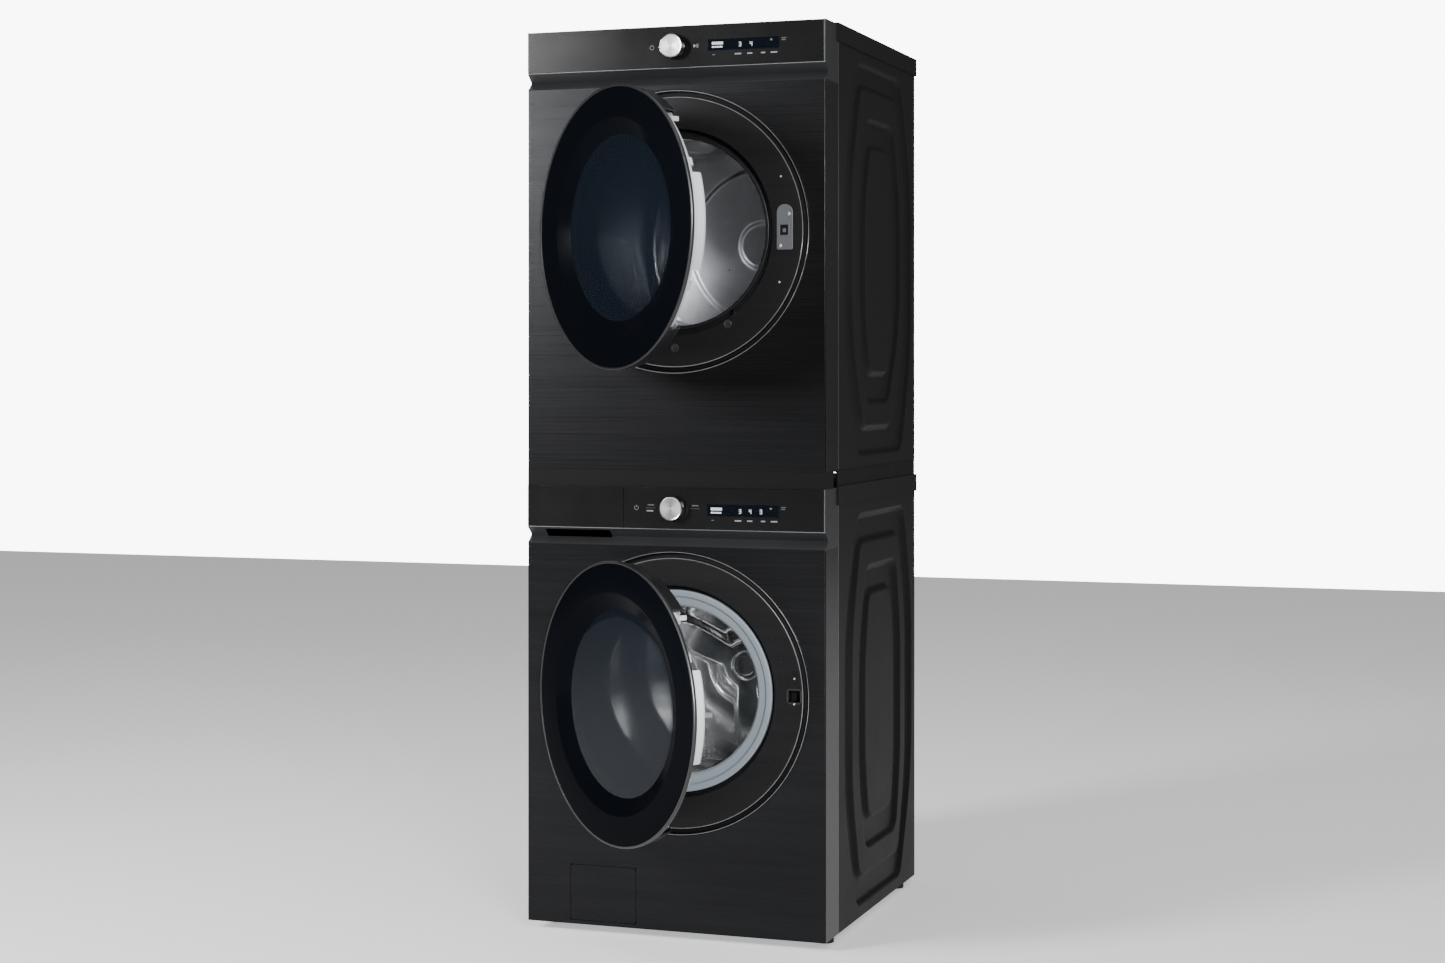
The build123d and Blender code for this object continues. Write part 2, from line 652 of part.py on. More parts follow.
def stack_kit():
    """The front trim strip and the two side rails that join the machines."""
    top = MACHINE_H
    with BuildPart() as trim:
        block(WASHER, (-HALF_W, HALF_W), (1.5, 60), (CONTROL_TOP, top + KIT_H))
        block(WASHER, (3 - HALF_W, HALF_W - 3), (4.5, 61), (CONTROL_TOP + 3, top + KIT_H - 3),
              mode=Mode.SUBTRACT)
    save(trim, "stack_trim")
    with BuildPart() as rails:
        for side in (-1, 1):
            outer = sorted((side * 344, side * 312))
            inner = sorted((side * 341, side * 311))
            block(WASHER, outer, (LID_D, CABINET_D - 6), (top, top + KIT_H))
            block(WASHER, inner, (LID_D - 1, CABINET_D - 5), (top + 3, top + KIT_H - 3), mode=Mode.SUBTRACT)
    save(rails, "stack_rails")


def main():
    os.makedirs("parts", exist_ok=True)
    for machine, kind in ((WASHER, "washer"), (DRYER, "dryer")):
        base(machine, f"{kind}_base", notch=(-243, -85) if kind == "washer" else None)
        side_panels(machine, f"{kind}_side_panels")
        top_lid(machine, f"{kind}_top_lid")
        dial(machine, f"{kind}_dial")
    rear_panel(WASHER, "washer_rear_panel", [(-200, 860, 18)], [((25, 155), (835, 905))])
    rear_panel(DRYER, "dryer_rear_panel", [(0, MOTOR_H, 62), (240, 880, 14)], [])
    front_panel(WASHER, "washer_front_panel", flap_hole=((-241, -87), (8.5, 131)))
    front_panel(DRYER, "dryer_front_panel")
    control_housing(WASHER, "washer_control_housing", drawer_hole=True)
    control_housing(DRYER, "dryer_control_housing", drawer_hole=False)
    control_glass(WASHER, "washer_control_glass", DRAWER_X + 1)
    control_glass(DRYER, "dryer_control_glass", 1.2 - HALF_W)
    washer_door = door_frame(WASHER, WASHER_OPEN)
    dryer_door = door_frame(DRYER, DRYER_OPEN)
    doors = (
        (washer_door, "washer", (-57, 46), 172, False),
        (dryer_door, "dryer", (-47, 52), 190, True),
    )
    for frame, kind, handle, bowl_r, strike in doors:
        door_glass(frame, f"{kind}_door_glass")
        door_rim(frame, f"{kind}_door_rim", handle)
        door_liner(frame, f"{kind}_door_liner", handle, bowl_r, 279 if strike else 268.5, strike)
        hinge_leaf(frame, f"{kind}_door_hinge_leaf")
    hinge_brackets("hinge_brackets")
    washer_surround()
    washer_lock()
    washer_hook(washer_door)
    washer_bowl(washer_door)
    gasket()
    tub()
    counterweight()
    washer_drum()
    drum_lifters(WASHER, AXIS_H, WASHER_DRUM_R - 2.5, (150, 500), (142, 262, 22), (38, 14, 55),
                 "washer_drum_lifters")
    washer_shaft()
    tub_bearings()
    motor_stator()
    suspension()
    drain_pump()
    drain_flap()
    detergent_drawer()
    inlet_valves()
    feet()
    dryer_surround()
    dryer_latch()
    dryer_inner_glass(dryer_door)
    dryer_drum()
    drum_lifters(DRYER, RING_H, DRYER_DRUM_R - 2.5, (110, 610), (117, 237, 357), (34, 10, 70),
                 "dryer_drum_lifters")
    drum_supports()
    rollers()
    belt()
    dryer_motor()
    air_duct()
    lint_filter()
    stack_kit()


main()
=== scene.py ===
"""Looks for a clothes dryer stacked on a washing machine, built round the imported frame.

Sizes are in millimetres in a machine's own frame: x across, d = depth behind the front panel,
h = height above the machine's underside. A door is drawn behind its own glass: x, b, z.
"""
from __future__ import annotations

import json
import logging
import math
from dataclasses import dataclass
from enum import Enum
from typing import Any, Iterable, Sequence

import bpy
import numpy as np
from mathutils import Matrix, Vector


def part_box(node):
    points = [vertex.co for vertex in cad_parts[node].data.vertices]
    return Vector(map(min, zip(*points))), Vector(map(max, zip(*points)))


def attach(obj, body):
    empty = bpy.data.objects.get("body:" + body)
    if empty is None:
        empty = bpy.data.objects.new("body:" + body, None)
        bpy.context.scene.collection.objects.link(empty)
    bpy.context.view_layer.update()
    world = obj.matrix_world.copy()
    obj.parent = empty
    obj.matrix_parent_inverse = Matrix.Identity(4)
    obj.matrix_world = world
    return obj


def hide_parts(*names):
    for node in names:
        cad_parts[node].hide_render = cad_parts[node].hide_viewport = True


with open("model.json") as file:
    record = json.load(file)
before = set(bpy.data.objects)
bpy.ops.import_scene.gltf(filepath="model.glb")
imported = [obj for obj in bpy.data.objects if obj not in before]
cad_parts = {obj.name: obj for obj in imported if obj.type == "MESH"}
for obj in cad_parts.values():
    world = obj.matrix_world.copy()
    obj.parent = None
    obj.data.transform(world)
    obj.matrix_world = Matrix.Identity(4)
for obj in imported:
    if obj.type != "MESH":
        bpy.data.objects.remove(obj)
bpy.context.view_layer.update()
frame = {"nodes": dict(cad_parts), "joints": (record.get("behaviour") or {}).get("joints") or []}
LOG = logging.getLogger("stack")
MM = 0.001
Colour = tuple[float, float, float]
Material = bpy.types.Material
Object = bpy.types.Object


# ---------------------------------------------------------------- shader maths

class Val:
    """A node socket that takes part in Python arithmetic, adding Math nodes."""

    def __init__(self, paint: "Paint", socket: Any) -> None:
        """Remember the socket and the paint it belongs to."""
        self.paint = paint
        self.socket = socket

    def math(self, operation: str, *others: Any) -> "Val":
        """Add one Math node.

        Args:
            operation: the Math node's operation.
            others: the second and third inputs, numbers or values.

        Returns:
            The node's result.
        """
        inputs = {i: v for i, v in enumerate((self, *others))}
        return self.paint.node("ShaderNodeMath", {"operation": operation}, inputs).out()

    def __add__(self, other: Any) -> "Val":
        """Sum."""
        return self.math("ADD", other)

    __radd__ = __add__

    def __mul__(self, other: Any) -> "Val":
        """Product."""
        return self.math("MULTIPLY", other)

    __rmul__ = __mul__

    def __sub__(self, other: Any) -> "Val":
        """Difference."""
        return self.math("SUBTRACT", other)

    def __rsub__(self, other: Any) -> "Val":
        """Difference, reflected."""
        return self.math("MULTIPLY", -1.0).math("ADD", other)

    def __truediv__(self, other: Any) -> "Val":
        """Quotient."""
        return self.math("DIVIDE", other)

    def __pow__(self, other: Any) -> "Val":
        """Power."""
        return self.math("POWER", other)

    def step(self, low: float, high: float) -> "Val":
        """Rise smoothly from 0 at low to 1 at high.

        Args:
            low: the value that gives 0.
            high: the value that gives 1.

        Returns:
            The smooth rise.
        """
        node = self.paint.node(
            "ShaderNodeMapRange", {"interpolation_type": "SMOOTHSTEP"},
            {"Value": self, "From Min": low, "From Max": high, "To Min": 0.0, "To Max": 1.0})
        return node.out("Result")


class Node:
    """One shader node."""

    def __init__(self, paint: "Paint", node: Any) -> None:
        """Remember the node."""
        self.paint = paint
        self.node = node

    def out(self, name: str | int = 0) -> Val:
        """One of the node's outputs."""
        return Val(self.paint, self.node.outputs[name])


class Paint:
    """Builds one material round a Principled shader."""

    def __init__(self, name: str) -> None:
        """Start an empty material of that name.

        Args:
            name: the material's name.
        """
        self.material = bpy.data.materials.new(name)
        self.material.use_nodes = True
        self.tree = self.material.node_tree
        self.tree.nodes.clear()
        self.shader = self.tree.nodes.new("ShaderNodeBsdfPrincipled")
        output = self.tree.nodes.new("ShaderNodeOutputMaterial")
        self.tree.links.new(self.shader.outputs[0], output.inputs[0])

    def _feed(self, socket: Any, value: Any) -> None:
        """Link or set one input socket.

        Args:
            socket: the input socket.
            value: a value to link, or a constant to set.
        """
        if isinstance(value, Val):
            self.tree.links.new(value.socket, socket)
        elif isinstance(value, (tuple, list)) and socket.type == "RGBA":
            socket.default_value = (*value[:3], 1.0)
        else:
            socket.default_value = value

    def node(self, kind: str, settings: dict | None = None, inputs: dict | None = None) -> Node:
        """Add a node.

        Args:
            kind: the node's type.
            settings: properties set first; "stops" gives a ramp's (place, colour) pairs.
            inputs: values or links, by socket name or number.

        Returns:
            The node.
        """
        made = self.tree.nodes.new(kind)
        for key, value in (settings or {}).items():
            if key == "stops":
                ramp = made.color_ramp
                while len(ramp.elements) < len(value):
                    ramp.elements.new(0.5)
                for element, (place, colour) in zip(ramp.elements, value):
                    element.position = place
                    element.color = (*colour, 1.0)
            else:
                setattr(made, key, value)
        for key, value in (inputs or {}).items():
            self._feed(made.inputs[key], value)
        return Node(self, made)

    def coords(self, stretch: Sequence[float] = (1, 1, 1), uv: bool = False) -> Val:
        """Object or UV coordinates in metres, stretched.

        Args:
            stretch: factors on x, y and z.
            uv: read UV instead of object coordinates.

        Returns:
            The coordinates as a value.
        """
        source = self.node("ShaderNodeTexCoord").out("UV" if uv else "Object")
        return self.node("ShaderNodeVectorMath", {"operation": "MULTIPLY"},
                         {0: source, 1: tuple(stretch)}).out()

    def split(self, vector: Val) -> tuple[Val, Val, Val]:
        """The three components of a vector."""
        node = self.node("ShaderNodeSeparateXYZ", None, {0: vector})
        return node.out(0), node.out(1), node.out(2)

    def noise(self, vector: Val, scale: float, detail: float = 3.0, rough: float = 0.6) -> Val:
        """Fractal noise about 0.5."""
        return self.node("ShaderNodeTexNoise", None,
                         {"Vector": vector, "Scale": scale, "Detail": detail, "Roughness": rough}).out()

    def mix(self, factor: Any, low: Any, high: Any) -> Val:
        """Blend two colours.

        Args:
            factor: 0 gives low and 1 gives high.
            low: the first colour.
            high: the second colour.

        Returns:
            The blended colour.
        """
        node = self.node("ShaderNodeMix", {"data_type": "RGBA"})
        for index, value in ((0, factor), (6, low), (7, high)):
            self._feed(node.node.inputs[index], value)
        return node.out(2)

    def bump(self, height: Val, strength: float, distance: float) -> Val:
        """A bump normal from a height."""
        return self.node("ShaderNodeBump", None, {
            "Strength": strength, "Distance": distance, "Height": height}).out()

    def finish(self, **sockets: Any) -> Material:
        """Set the shader's sockets, named with underscores for spaces.

        Returns:
            The finished material.
        """
        for key, value in sockets.items():
            self._feed(self.shader.inputs[key.replace("_", " ")], value)
        return self.material


# ---------------------------------------------------------------- finishes

class Grain(Enum):
    """Which way a brushed sheet's grain runs: the axis it is stretched along."""

    ACROSS = (2.5, 300.0, 900.0)
    DEEP = (300.0, 2.5, 900.0)


@dataclass(frozen=True)
class BrushedSheet:
    """Coated stainless sheet with fine straight grain."""

    name: str
    colour: Colour
    rough: float = 0.29
    grain: Grain = Grain.ACROSS
    spread: float = 0.6
    metal: float = 0.75

    def build(self) -> Material:
        """Noise stretched along the grain varies colour and roughness and lifts a slight bump.

        Returns:
            The material.
        """
        paint = Paint(self.name)
        fine = paint.noise(paint.coords(self.grain.value), 1.0, 4.0, 0.7)
        broad = paint.noise(paint.coords((1.5, 8.0, 30.0)), 1.0, 2.0)
        shade = paint.mix(fine * 0.6 + broad * 0.4,
                          tuple(c * (1 - self.spread) for c in self.colour),
                          tuple(c * (1 + self.spread) for c in self.colour))
        return paint.finish(Base_Color=shade, Metallic=self.metal,
                            Roughness=fine * 0.16 + (self.rough - 0.08),
                            Normal=paint.bump(fine, 0.16, 0.0004), Specular_IOR_Level=0.15)


@dataclass(frozen=True)
class Paintwork:
    """Baked paint or moulded plastic with a fine orange-peel texture."""

    name: str
    colour: Colour
    rough: float = 0.45
    texture: float = 0.15
    scale: float = 900.0
    metal: float = 0.0
    specular: float = 0.5

    def build(self) -> Material:
        """Fine noise lifts the surface and broad noise varies its gloss.

        Returns:
            The material.
        """
        paint = Paint(self.name)
        fine = paint.noise(paint.coords(), self.scale, 2.0)
        broad = paint.noise(paint.coords(), 6.0, 3.0)
        shade = paint.mix(broad, tuple(c * 0.9 for c in self.colour),
                          tuple(c * 1.1 for c in self.colour))
        return paint.finish(Base_Color=shade, Metallic=self.metal,
                            Roughness=broad * 0.1 + fine * 0.06 + (self.rough - 0.08),
                            Specular_IOR_Level=self.specular,
                            Normal=paint.bump(fine, self.texture, 0.0005))


@dataclass(frozen=True)
class Steel:
    """Polished or satin stainless steel with soft waviness and faint rubbing marks."""

    name: str
    colour: Colour = (0.62, 0.63, 0.65)
    rough: float = 0.16
    wave: float = 0.25

    def build(self) -> Material:
        """Broad noise bends the reflections and stretched noise marks the surface.

        Returns:
            The material.
        """
        paint = Paint(self.name)
        wave = paint.noise(paint.coords(), 9.0, 1.0)
        marks = paint.noise(paint.coords((60.0, 500.0, 60.0)), 1.0, 3.0)
        normal = paint.bump(wave * 1.0 + marks * 0.02, self.wave, 0.006)
        shade = paint.mix(marks, tuple(c * 0.88 for c in self.colour), self.colour)
        return paint.finish(Base_Color=shade, Metallic=1.0, Roughness=marks * 0.1 + (self.rough - 0.05),
                            Normal=normal)


@dataclass(frozen=True)
class PerforatedSteel(Steel):
    """Polished drum steel with rows of small drain holes, on a UV map in metres."""

    hole: float = 0.0017
    pitch: float = 0.014

    def build(self) -> Material:
        """Distance from the nearest lattice point below the hole's radius is dark and sunk.

        Returns:
            The material.
        """
        paint = Paint(self.name)
        wave = paint.noise(paint.coords(), 9.0, 1.0)
        marks = paint.noise(paint.coords((60.0, 500.0, 60.0)), 1.0, 3.0)
        u, v, _ = paint.split(paint.coords((1 / self.pitch, 1 / self.pitch, 1.0), uv=True))
        du = (u + v.math("FLOOR") * 0.5).math("FRACT") - 0.5
        dv = v.math("FRACT") - 0.5
        away = (du * du + dv * dv).math("SQRT")
        size = self.hole / self.pitch
        hole = 1 - away.step(size * 0.8, size * 1.15)
        dent = 1 - away.step(size * 0.9, size * 2.2)
        height = wave - dent * 0.25
        shade = paint.mix(hole, paint.mix(marks, tuple(c * 0.88 for c in self.colour), self.colour),
                          (0.004, 0.004, 0.005))
        return paint.finish(Base_Color=shade, Metallic=1 - hole,
                            Normal=paint.bump(height, self.wave, 0.006),
                            Roughness=marks * 0.1 + (self.rough - 0.05) + hole * 0.5)


@dataclass(frozen=True)
class SpunMetal:
    """Aluminium turned on a lathe: fine rings on the face, read from UV u = radius."""

    name: str
    colour: Colour = (0.78, 0.78, 0.79)

    def build(self) -> Material:
        """Noise of the radius alone makes the rings; the angle makes the fan of light, painted into the
        colour as a sheen.

        Returns:
            The material.
        """
        paint = Paint(self.name)
        u, v, _ = paint.split(paint.coords(uv=True))
        ring = paint.node("ShaderNodeCombineXYZ", None, {0: u * 4200.0, 1: v * 0.4}).out()
        fine = paint.noise(ring, 1.0, 3.0, 0.7)
        # A painted sheen: the colour swings between dark and bright round the face.
        fan = (v * (4 * math.pi)).math("COSINE") * 0.5 + 0.5
        shade = paint.mix(fan, tuple(c * 0.42 for c in self.colour), self.colour)
        return paint.finish(Base_Color=shade, Metallic=1.0, Roughness=fine * 0.18 + 0.2,
                            Normal=paint.bump(fine, 0.2, 0.0003))


@dataclass(frozen=True)
class Glass:
    """Glass that lets light straight through without bending it, tinted by its alpha."""

    name: str
    colour: Colour
    alpha: float
    rough: float = 0.03
    specular: float = 0.5

    def build(self) -> Material:
        """A dark gloss whose alpha leaves most of what is behind it showing; it closes up at a slant.

        Returns:
            The material.
        """
        paint = Paint(self.name)
        smear = paint.noise(paint.coords(), 14.0, 2.0)
        slant = paint.node("ShaderNodeLayerWeight", {}, {"Blend": 0.5}).out("Facing") ** 3.0
        return paint.finish(Base_Color=self.colour, Roughness=smear * 0.03 + self.rough,
                            Alpha=smear * 0.04 + slant * (0.9 - self.alpha) + (self.alpha - 0.02),
                            Specular_IOR_Level=self.specular)


@dataclass(frozen=True)
class Lamp:
    """A lit mark on a display."""

    name: str
    colour: Colour
    strength: float

    def build(self) -> Material:
        """Even light, a little uneven from dot to dot.

        Returns:
            The material.
        """
        paint = Paint(self.name)
        dots = paint.noise(paint.coords(), 700.0, 1.0)
        glow = paint.mix(dots, tuple(c * 0.9 for c in self.colour), self.colour)
        return paint.finish(Base_Color=(0.02, 0.02, 0.02), Roughness=0.4, Emission_Color=glow,
                            Emission_Strength=self.strength)


class Palette:
    """Every finish, built once and asked for by name."""

    def __init__(self) -> None:
        """Build the finishes."""
        finishes = (
            BrushedSheet("front_steel", (0.0135, 0.0138, 0.0147)),
            BrushedSheet("surround_plate", (0.010, 0.010, 0.0107), rough=0.36, metal=0.5),
            # A steel much brighter than the sheets, for thin edge beads: a painted highlight.
            BrushedSheet("painted_highlight_steel", (0.24, 0.245, 0.255), rough=0.34),
            Paintwork("panel_gloss", (0.0045, 0.0045, 0.005), rough=0.2, texture=0.0, specular=0.3),
            Paintwork("side_paint", (0.012, 0.012, 0.0127), rough=0.46, texture=0.12, specular=0.06),
            Paintwork("groove_paint", (0.026, 0.027, 0.029), rough=0.4, metal=0.5, texture=0.1),
            Paintwork("kit_paint", (0.002, 0.002, 0.0022), rough=0.5, specular=0.1),
            Paintwork("rim_plastic", (0.006, 0.006, 0.007), rough=0.36, texture=0.03, specular=0.5),
            # Near black for hidden inner parts, and also painted shade in the opening's channel and the
            # gap ring beside the washer gasket.
            Paintwork("black_and_painted_shade", (0.002, 0.002, 0.002), rough=0.6, specular=0.1),
            Paintwork("door_black", (0.0016, 0.0020, 0.003), rough=0.14, texture=0.0, specular=0.01),
            Paintwork("pale_plastic", (0.34, 0.35, 0.37), rough=0.42, texture=0.08),
            Paintwork("white_plastic", (0.7, 0.7, 0.69), rough=0.4),
            Paintwork("latch_paint", (0.045, 0.047, 0.052), rough=0.42),
            Paintwork("gasket_rubber", (0.115, 0.135, 0.153), rough=0.5, texture=0.1),
            Paintwork("black_rubber", (0.012, 0.012, 0.012), rough=0.7, texture=0.3),
            Paintwork("zinc_sheet", (0.40, 0.41, 0.43), rough=0.4, metal=0.9, texture=0.1, scale=120.0),
            Paintwork("cast_block", (0.3, 0.29, 0.28), rough=0.8, texture=0.5, scale=300.0),
            Steel("hinge_steel", (0.5, 0.5, 0.52), rough=0.3, wave=0.05),
            Steel("washer_drum_steel", (0.84, 0.85, 0.86), rough=0.11, wave=0.35),
            Steel("dryer_drum_steel", (0.60, 0.61, 0.63), rough=0.30, wave=0.2),
            PerforatedSteel("washer_drum_wall", (0.86, 0.87, 0.88), rough=0.13, wave=0.4),
            SpunMetal("spun_face"),
            Steel("knob_side", (0.55, 0.55, 0.56), rough=0.2, wave=0.0),
            Glass("window_tint", (0.003, 0.0048, 0.008), 0.78, specular=0.12),
            Glass("pane_glass", (0.010, 0.013, 0.017), 0.5),
            Glass("bowl_glass", (0.05, 0.057, 0.065), 0.13),
            # Pale glass for the beads on the inner glass's rims: a painted highlight.
            Glass("glass_edge_highlight", (0.55, 0.58, 0.62), 0.7),
            Lamp("display_light", (0.95, 0.97, 1.0), 1.6),
            Lamp("label_light", (0.85, 0.86, 0.88), 0.55),
            Lamp("faint_light", (0.6, 0.6, 0.62), 0.12),
        )
        self.made = {finish.name: finish.build() for finish in finishes}

    def __getitem__(self, name: str) -> Material:
        """The material of that name."""
        return self.made[name]


# ---------------------------------------------------------------- geometry

@dataclass(frozen=True)
class Place:
    """A right-handed local frame: millimetres across, inward and up from an origin in metres."""

    origin: np.ndarray
    across: np.ndarray
    inward: np.ndarray
    up: np.ndarray

    def world(self, x: Any, d: Any, h: Any) -> np.ndarray:
        """Map local arrays, which broadcast together, to points in metres."""
        x, d, h = np.broadcast_arrays(*(np.asarray(v, float)[..., None] for v in (x, d, h)))
        return self.origin + MM * (x * self.across + d * self.inward + h * self.up)

    def raised(self, h: float, x: float = 0.0) -> "Place":
        """The same frame, higher by h and moved across by x."""
        return Place(self.world(x, 0.0, h), self.across, self.inward, self.up)


class Shape:
    """Vertices and faces that are gathered into one mesh."""

    def __init__(self) -> None:
        """Start empty."""
        self.points: list[np.ndarray] = []
        self.faces: list[np.ndarray] = []
        self.uvs: list[np.ndarray] = []
        self.slots: list[np.ndarray] = []
        self.count = 0

    def grid(self, points: np.ndarray, wrap_rows: bool = False, wrap_cols: bool = False,
             uv: np.ndarray | None = None, slot: int = 0, flip: bool = False) -> "Shape":
        """Add a rows by columns sheet of points as quads.

        Args:
            points: array (rows, cols, 3) in metres.
            wrap_rows: join the last row to the first.
            wrap_cols: join the last column to the first.
            uv: array (rows, cols, 2), or None.
            slot: material slot of the faces.
            flip: turn the faces over.

        Returns:
            The shape itself.
        """
        rows, cols = points.shape[:2]
        index = np.arange(rows * cols).reshape(rows, cols) + self.count
        if wrap_rows:
            index = np.vstack([index, index[:1]])
        if wrap_cols:
            index = np.hstack([index, index[:, :1]])
        quads = np.stack([index[:-1, :-1], index[:-1, 1:], index[1:, 1:], index[1:, :-1]],
                         -1).reshape(-1, 4)
        self._take(points.reshape(-1, 3), quads[:, ::-1] if flip else quads, uv, slot)
        return self

    def fan(self, loop: np.ndarray, flip: bool = False, slot: int = 0) -> "Shape":
        """Close a loop of points (n, 3) with triangles to its middle.

        Args:
            loop: points (n, 3) in metres.
            flip: turn the faces over.
            slot: material slot of the faces.

        Returns:
            The shape itself.
        """
        middle = loop.mean(0, keepdims=True)
        n = len(loop)
        ring = np.arange(n)
        tris = np.stack([ring, (ring + 1) % n, np.full(n, n), np.full(n, n)], -1) + self.count
        self._take(np.vstack([loop, middle]), tris[:, ::-1] if flip else tris, None, slot)
        return self

    def _take(self, points: np.ndarray, faces: np.ndarray, uv: np.ndarray | None, slot: int) -> None:
        """Append one patch.

        Args:
            points: points (n, 3) in metres.
            faces: point numbers of each face.
            uv: coordinates of the points, or None.
            slot: material slot of the faces.
        """
        self.points.append(points)
        self.faces.append(faces)
        self.uvs.append(np.zeros((len(points), 2)) if uv is None else uv.reshape(-1, 2))
        self.slots.append(np.full(len(faces), slot))
        self.count += len(points)

    def make(self, name: str, body: str, *materials: Material, sharp: float = 32.0,
             closed: bool = True, stands_for: Sequence[str] = (), slot: str = "") -> Object:
        """Turn the patches into one object that rides on a body.

        Args:
            name: the piece's name.
            body: the CAD body it rides on.
            materials: its material slots.
            sharp: edges that turn by more degrees than this stay sharp.
            closed: the shape is closed, so a negative volume means that it is inside out.
            stands_for: the CAD nodes that it replaces.
            slot: the record's material slot; not used.

        Returns:
            The object.
        """
        points, faces, uvs = (np.concatenate(v) for v in (self.points, self.faces, self.uvs))
        slots = np.concatenate(self.slots)
        if closed:
            a, b, c, d = (points[faces[:, k]] for k in range(4))
            volume = (np.einsum("ij,ij->", a, np.cross(b, c)) + np.einsum("ij,ij->", a, np.cross(c, d)))
            if volume < 0:
                faces = faces[:, ::-1]
        lists = [list(dict.fromkeys(face)) for face in faces.tolist()]
        keep = [i for i, face in enumerate(lists) if len(face) > 2]
        mesh = bpy.data.meshes.new(name)
        mesh.from_pydata(points.tolist(), [], [lists[i] for i in keep])
        mesh.polygons.foreach_set("material_index", slots[keep].astype(np.int32))
        mesh.polygons.foreach_set("use_smooth", np.ones(len(keep), bool))
        layer = mesh.uv_layers.new(name="UVMap")
        corner = np.zeros(len(mesh.loops), np.int32)
        mesh.loops.foreach_get("vertex_index", corner)
        layer.data.foreach_set("uv", uvs[corner].ravel())
        for material in materials:
            mesh.materials.append(material)
        mesh.set_sharp_from_angle(angle=math.radians(sharp))
        mesh.validate()
        mesh.update()
        made = bpy.data.objects.new(name, mesh)
        bpy.context.scene.collection.objects.link(made)
        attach(made, body)
        if stands_for:
            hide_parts(*stands_for)
        LOG.info("%s: %d faces on %s", name, len(keep), body)
        return made


def rounded(corners: Iterable[Sequence[float]], closed: bool = True, steps: int = 5) -> np.ndarray:
    """Round a path's corners with arcs.

    Each corner is (a, b) or (a, b, radius). The arc's centre lies on the bisector, and its
    ends are radius / tan(half the inner angle) from the corner, at most 0.48 of a side.

    Returns:
        Points (n, 2).
    """
    path = [(float(c[0]), float(c[1]), float(c[2]) if len(c) > 2 else 0.0) for c in corners]
    out: list[np.ndarray] = []
    n = len(path)
    for i, (a, b, radius) in enumerate(path):
        here = np.array([a, b])
        if radius <= 0 or (not closed and i in (0, n - 1)):
            out.append(here[None])
            continue
        before = np.array(path[i - 1][:2]) - here
        after = np.array(path[(i + 1) % n][:2]) - here
        la, lb = np.linalg.norm(before), np.linalg.norm(after)
        ua, ub = before / la, after / lb
        half = math.acos(max(-1.0, min(1.0, float(ua @ ub)))) / 2
        reach = min(radius / math.tan(half), 0.48 * la, 0.48 * lb)
        t = np.linspace(0, 1, steps + 1)[:, None]
        start, end = here + ua * reach, here + ub * reach
        weight = math.sin(half)
        w0, w1, w2 = (1 - t) ** 2, 2 * t * (1 - t) * weight, t ** 2
        out.append((w0 * start + w1 * here + w2 * end) / (w0 + w1 + w2))
    return np.vstack(out)


def lathe(place: Place, profile: np.ndarray, turns: int = 128, closed: bool = True,
          arc: tuple[float, float] | None = None, slot: int = 0) -> Shape:
    """Turn a (radius, depth) profile about a place's inward axis.

    A point is at (r cos t, d, r sin t). UV is (radius, t / full turn). A partial arc's ends
    are closed with fans when the profile is closed.

    Returns:
        The shape.
    """
    whole = arc is None
    start, end = (0.0, 360.0) if whole else arc
    angle = np.radians(np.linspace(start, end, turns, endpoint=not whole))[:, None]
    r, d = profile[None, :, 0], profile[None, :, 1]
    points = place.world(r * np.cos(angle), d + 0 * angle, r * np.sin(angle))
    uv = np.stack(np.broadcast_arrays(r * MM, angle / (2 * math.pi)), -1)
    shape = Shape().grid(points, wrap_rows=whole, wrap_cols=closed, uv=uv, slot=slot)
    if not whole and closed:
        shape.fan(points[0], flip=True, slot=slot).fan(points[-1], slot=slot)
    return shape


def slab(place: Place, outline: np.ndarray, near: float, far: float, edge: float = 0.6,
         shape: Shape | None = None, slot: int = 0) -> Shape:
    """A plate with a rounded front edge: an (x, h) outline carried inward from near to far.

    Each row is the outline moved in along its normals by edge (1 - sin t) at depth
    near + edge (1 - cos t), then the plain outline to the back.

    Args:
        place: the frame that the shape is laid out in.
        outline: closed outline (n, 2) of x and h.
        near: depth of the front face.
        far: depth of the back face.
        edge: radius of the front edge.
        shape: the shape to add to, or None for a new one.
        slot: material slot of the faces.

    Returns:
        The shape.
    """
    after = np.roll(outline, -1, 0) - outline
    before = outline - np.roll(outline, 1, 0)
    tangent = (after / np.linalg.norm(after, axis=1)[:, None]
               + before / np.linalg.norm(before, axis=1)[:, None])
    tangent /= np.linalg.norm(tangent, axis=1)[:, None]
    area = float(np.sum(outline[:, 0] * np.roll(outline[:, 1], -1)
                        - outline[:, 1] * np.roll(outline[:, 0], -1)))
    normal = np.stack([-tangent[:, 1], tangent[:, 0]], -1) * (1 if area > 0 else -1)
    turn = np.linspace(0, math.pi / 2, 4)
    inset = np.append(edge * (1 - np.sin(turn)), 0.0)
    depth = np.append(near + edge * (1 - np.cos(turn)), far)
    rows = outline[None] + normal[None] * inset[:, None, None]
    points = place.world(rows[..., 0], depth[:, None] + 0 * rows[..., 0], rows[..., 1])
    shape = shape or Shape()
    flip = area > 0
    shape.grid(points, wrap_cols=True, slot=slot, flip=not flip)
    shape.fan(points[0], flip=flip, slot=slot).fan(points[-1], flip=not flip, slot=slot)
    return shape


def rectangle(x: Sequence[float], h: Sequence[float], radius: float = 1.0,
              steps: int = 4) -> np.ndarray:
    """A rounded rectangle's outline between (low, high) limits.

    Args:
        x: lowest and highest x.
        h: lowest and highest h.
        radius: the corners' radius.
        steps: points along each corner.

    Returns:
        The outline (n, 2).
    """
    return rounded([(x[0], h[0], radius), (x[1], h[0], radius), (x[1], h[1], radius),
                    (x[0], h[1], radius)],
                   steps=steps)


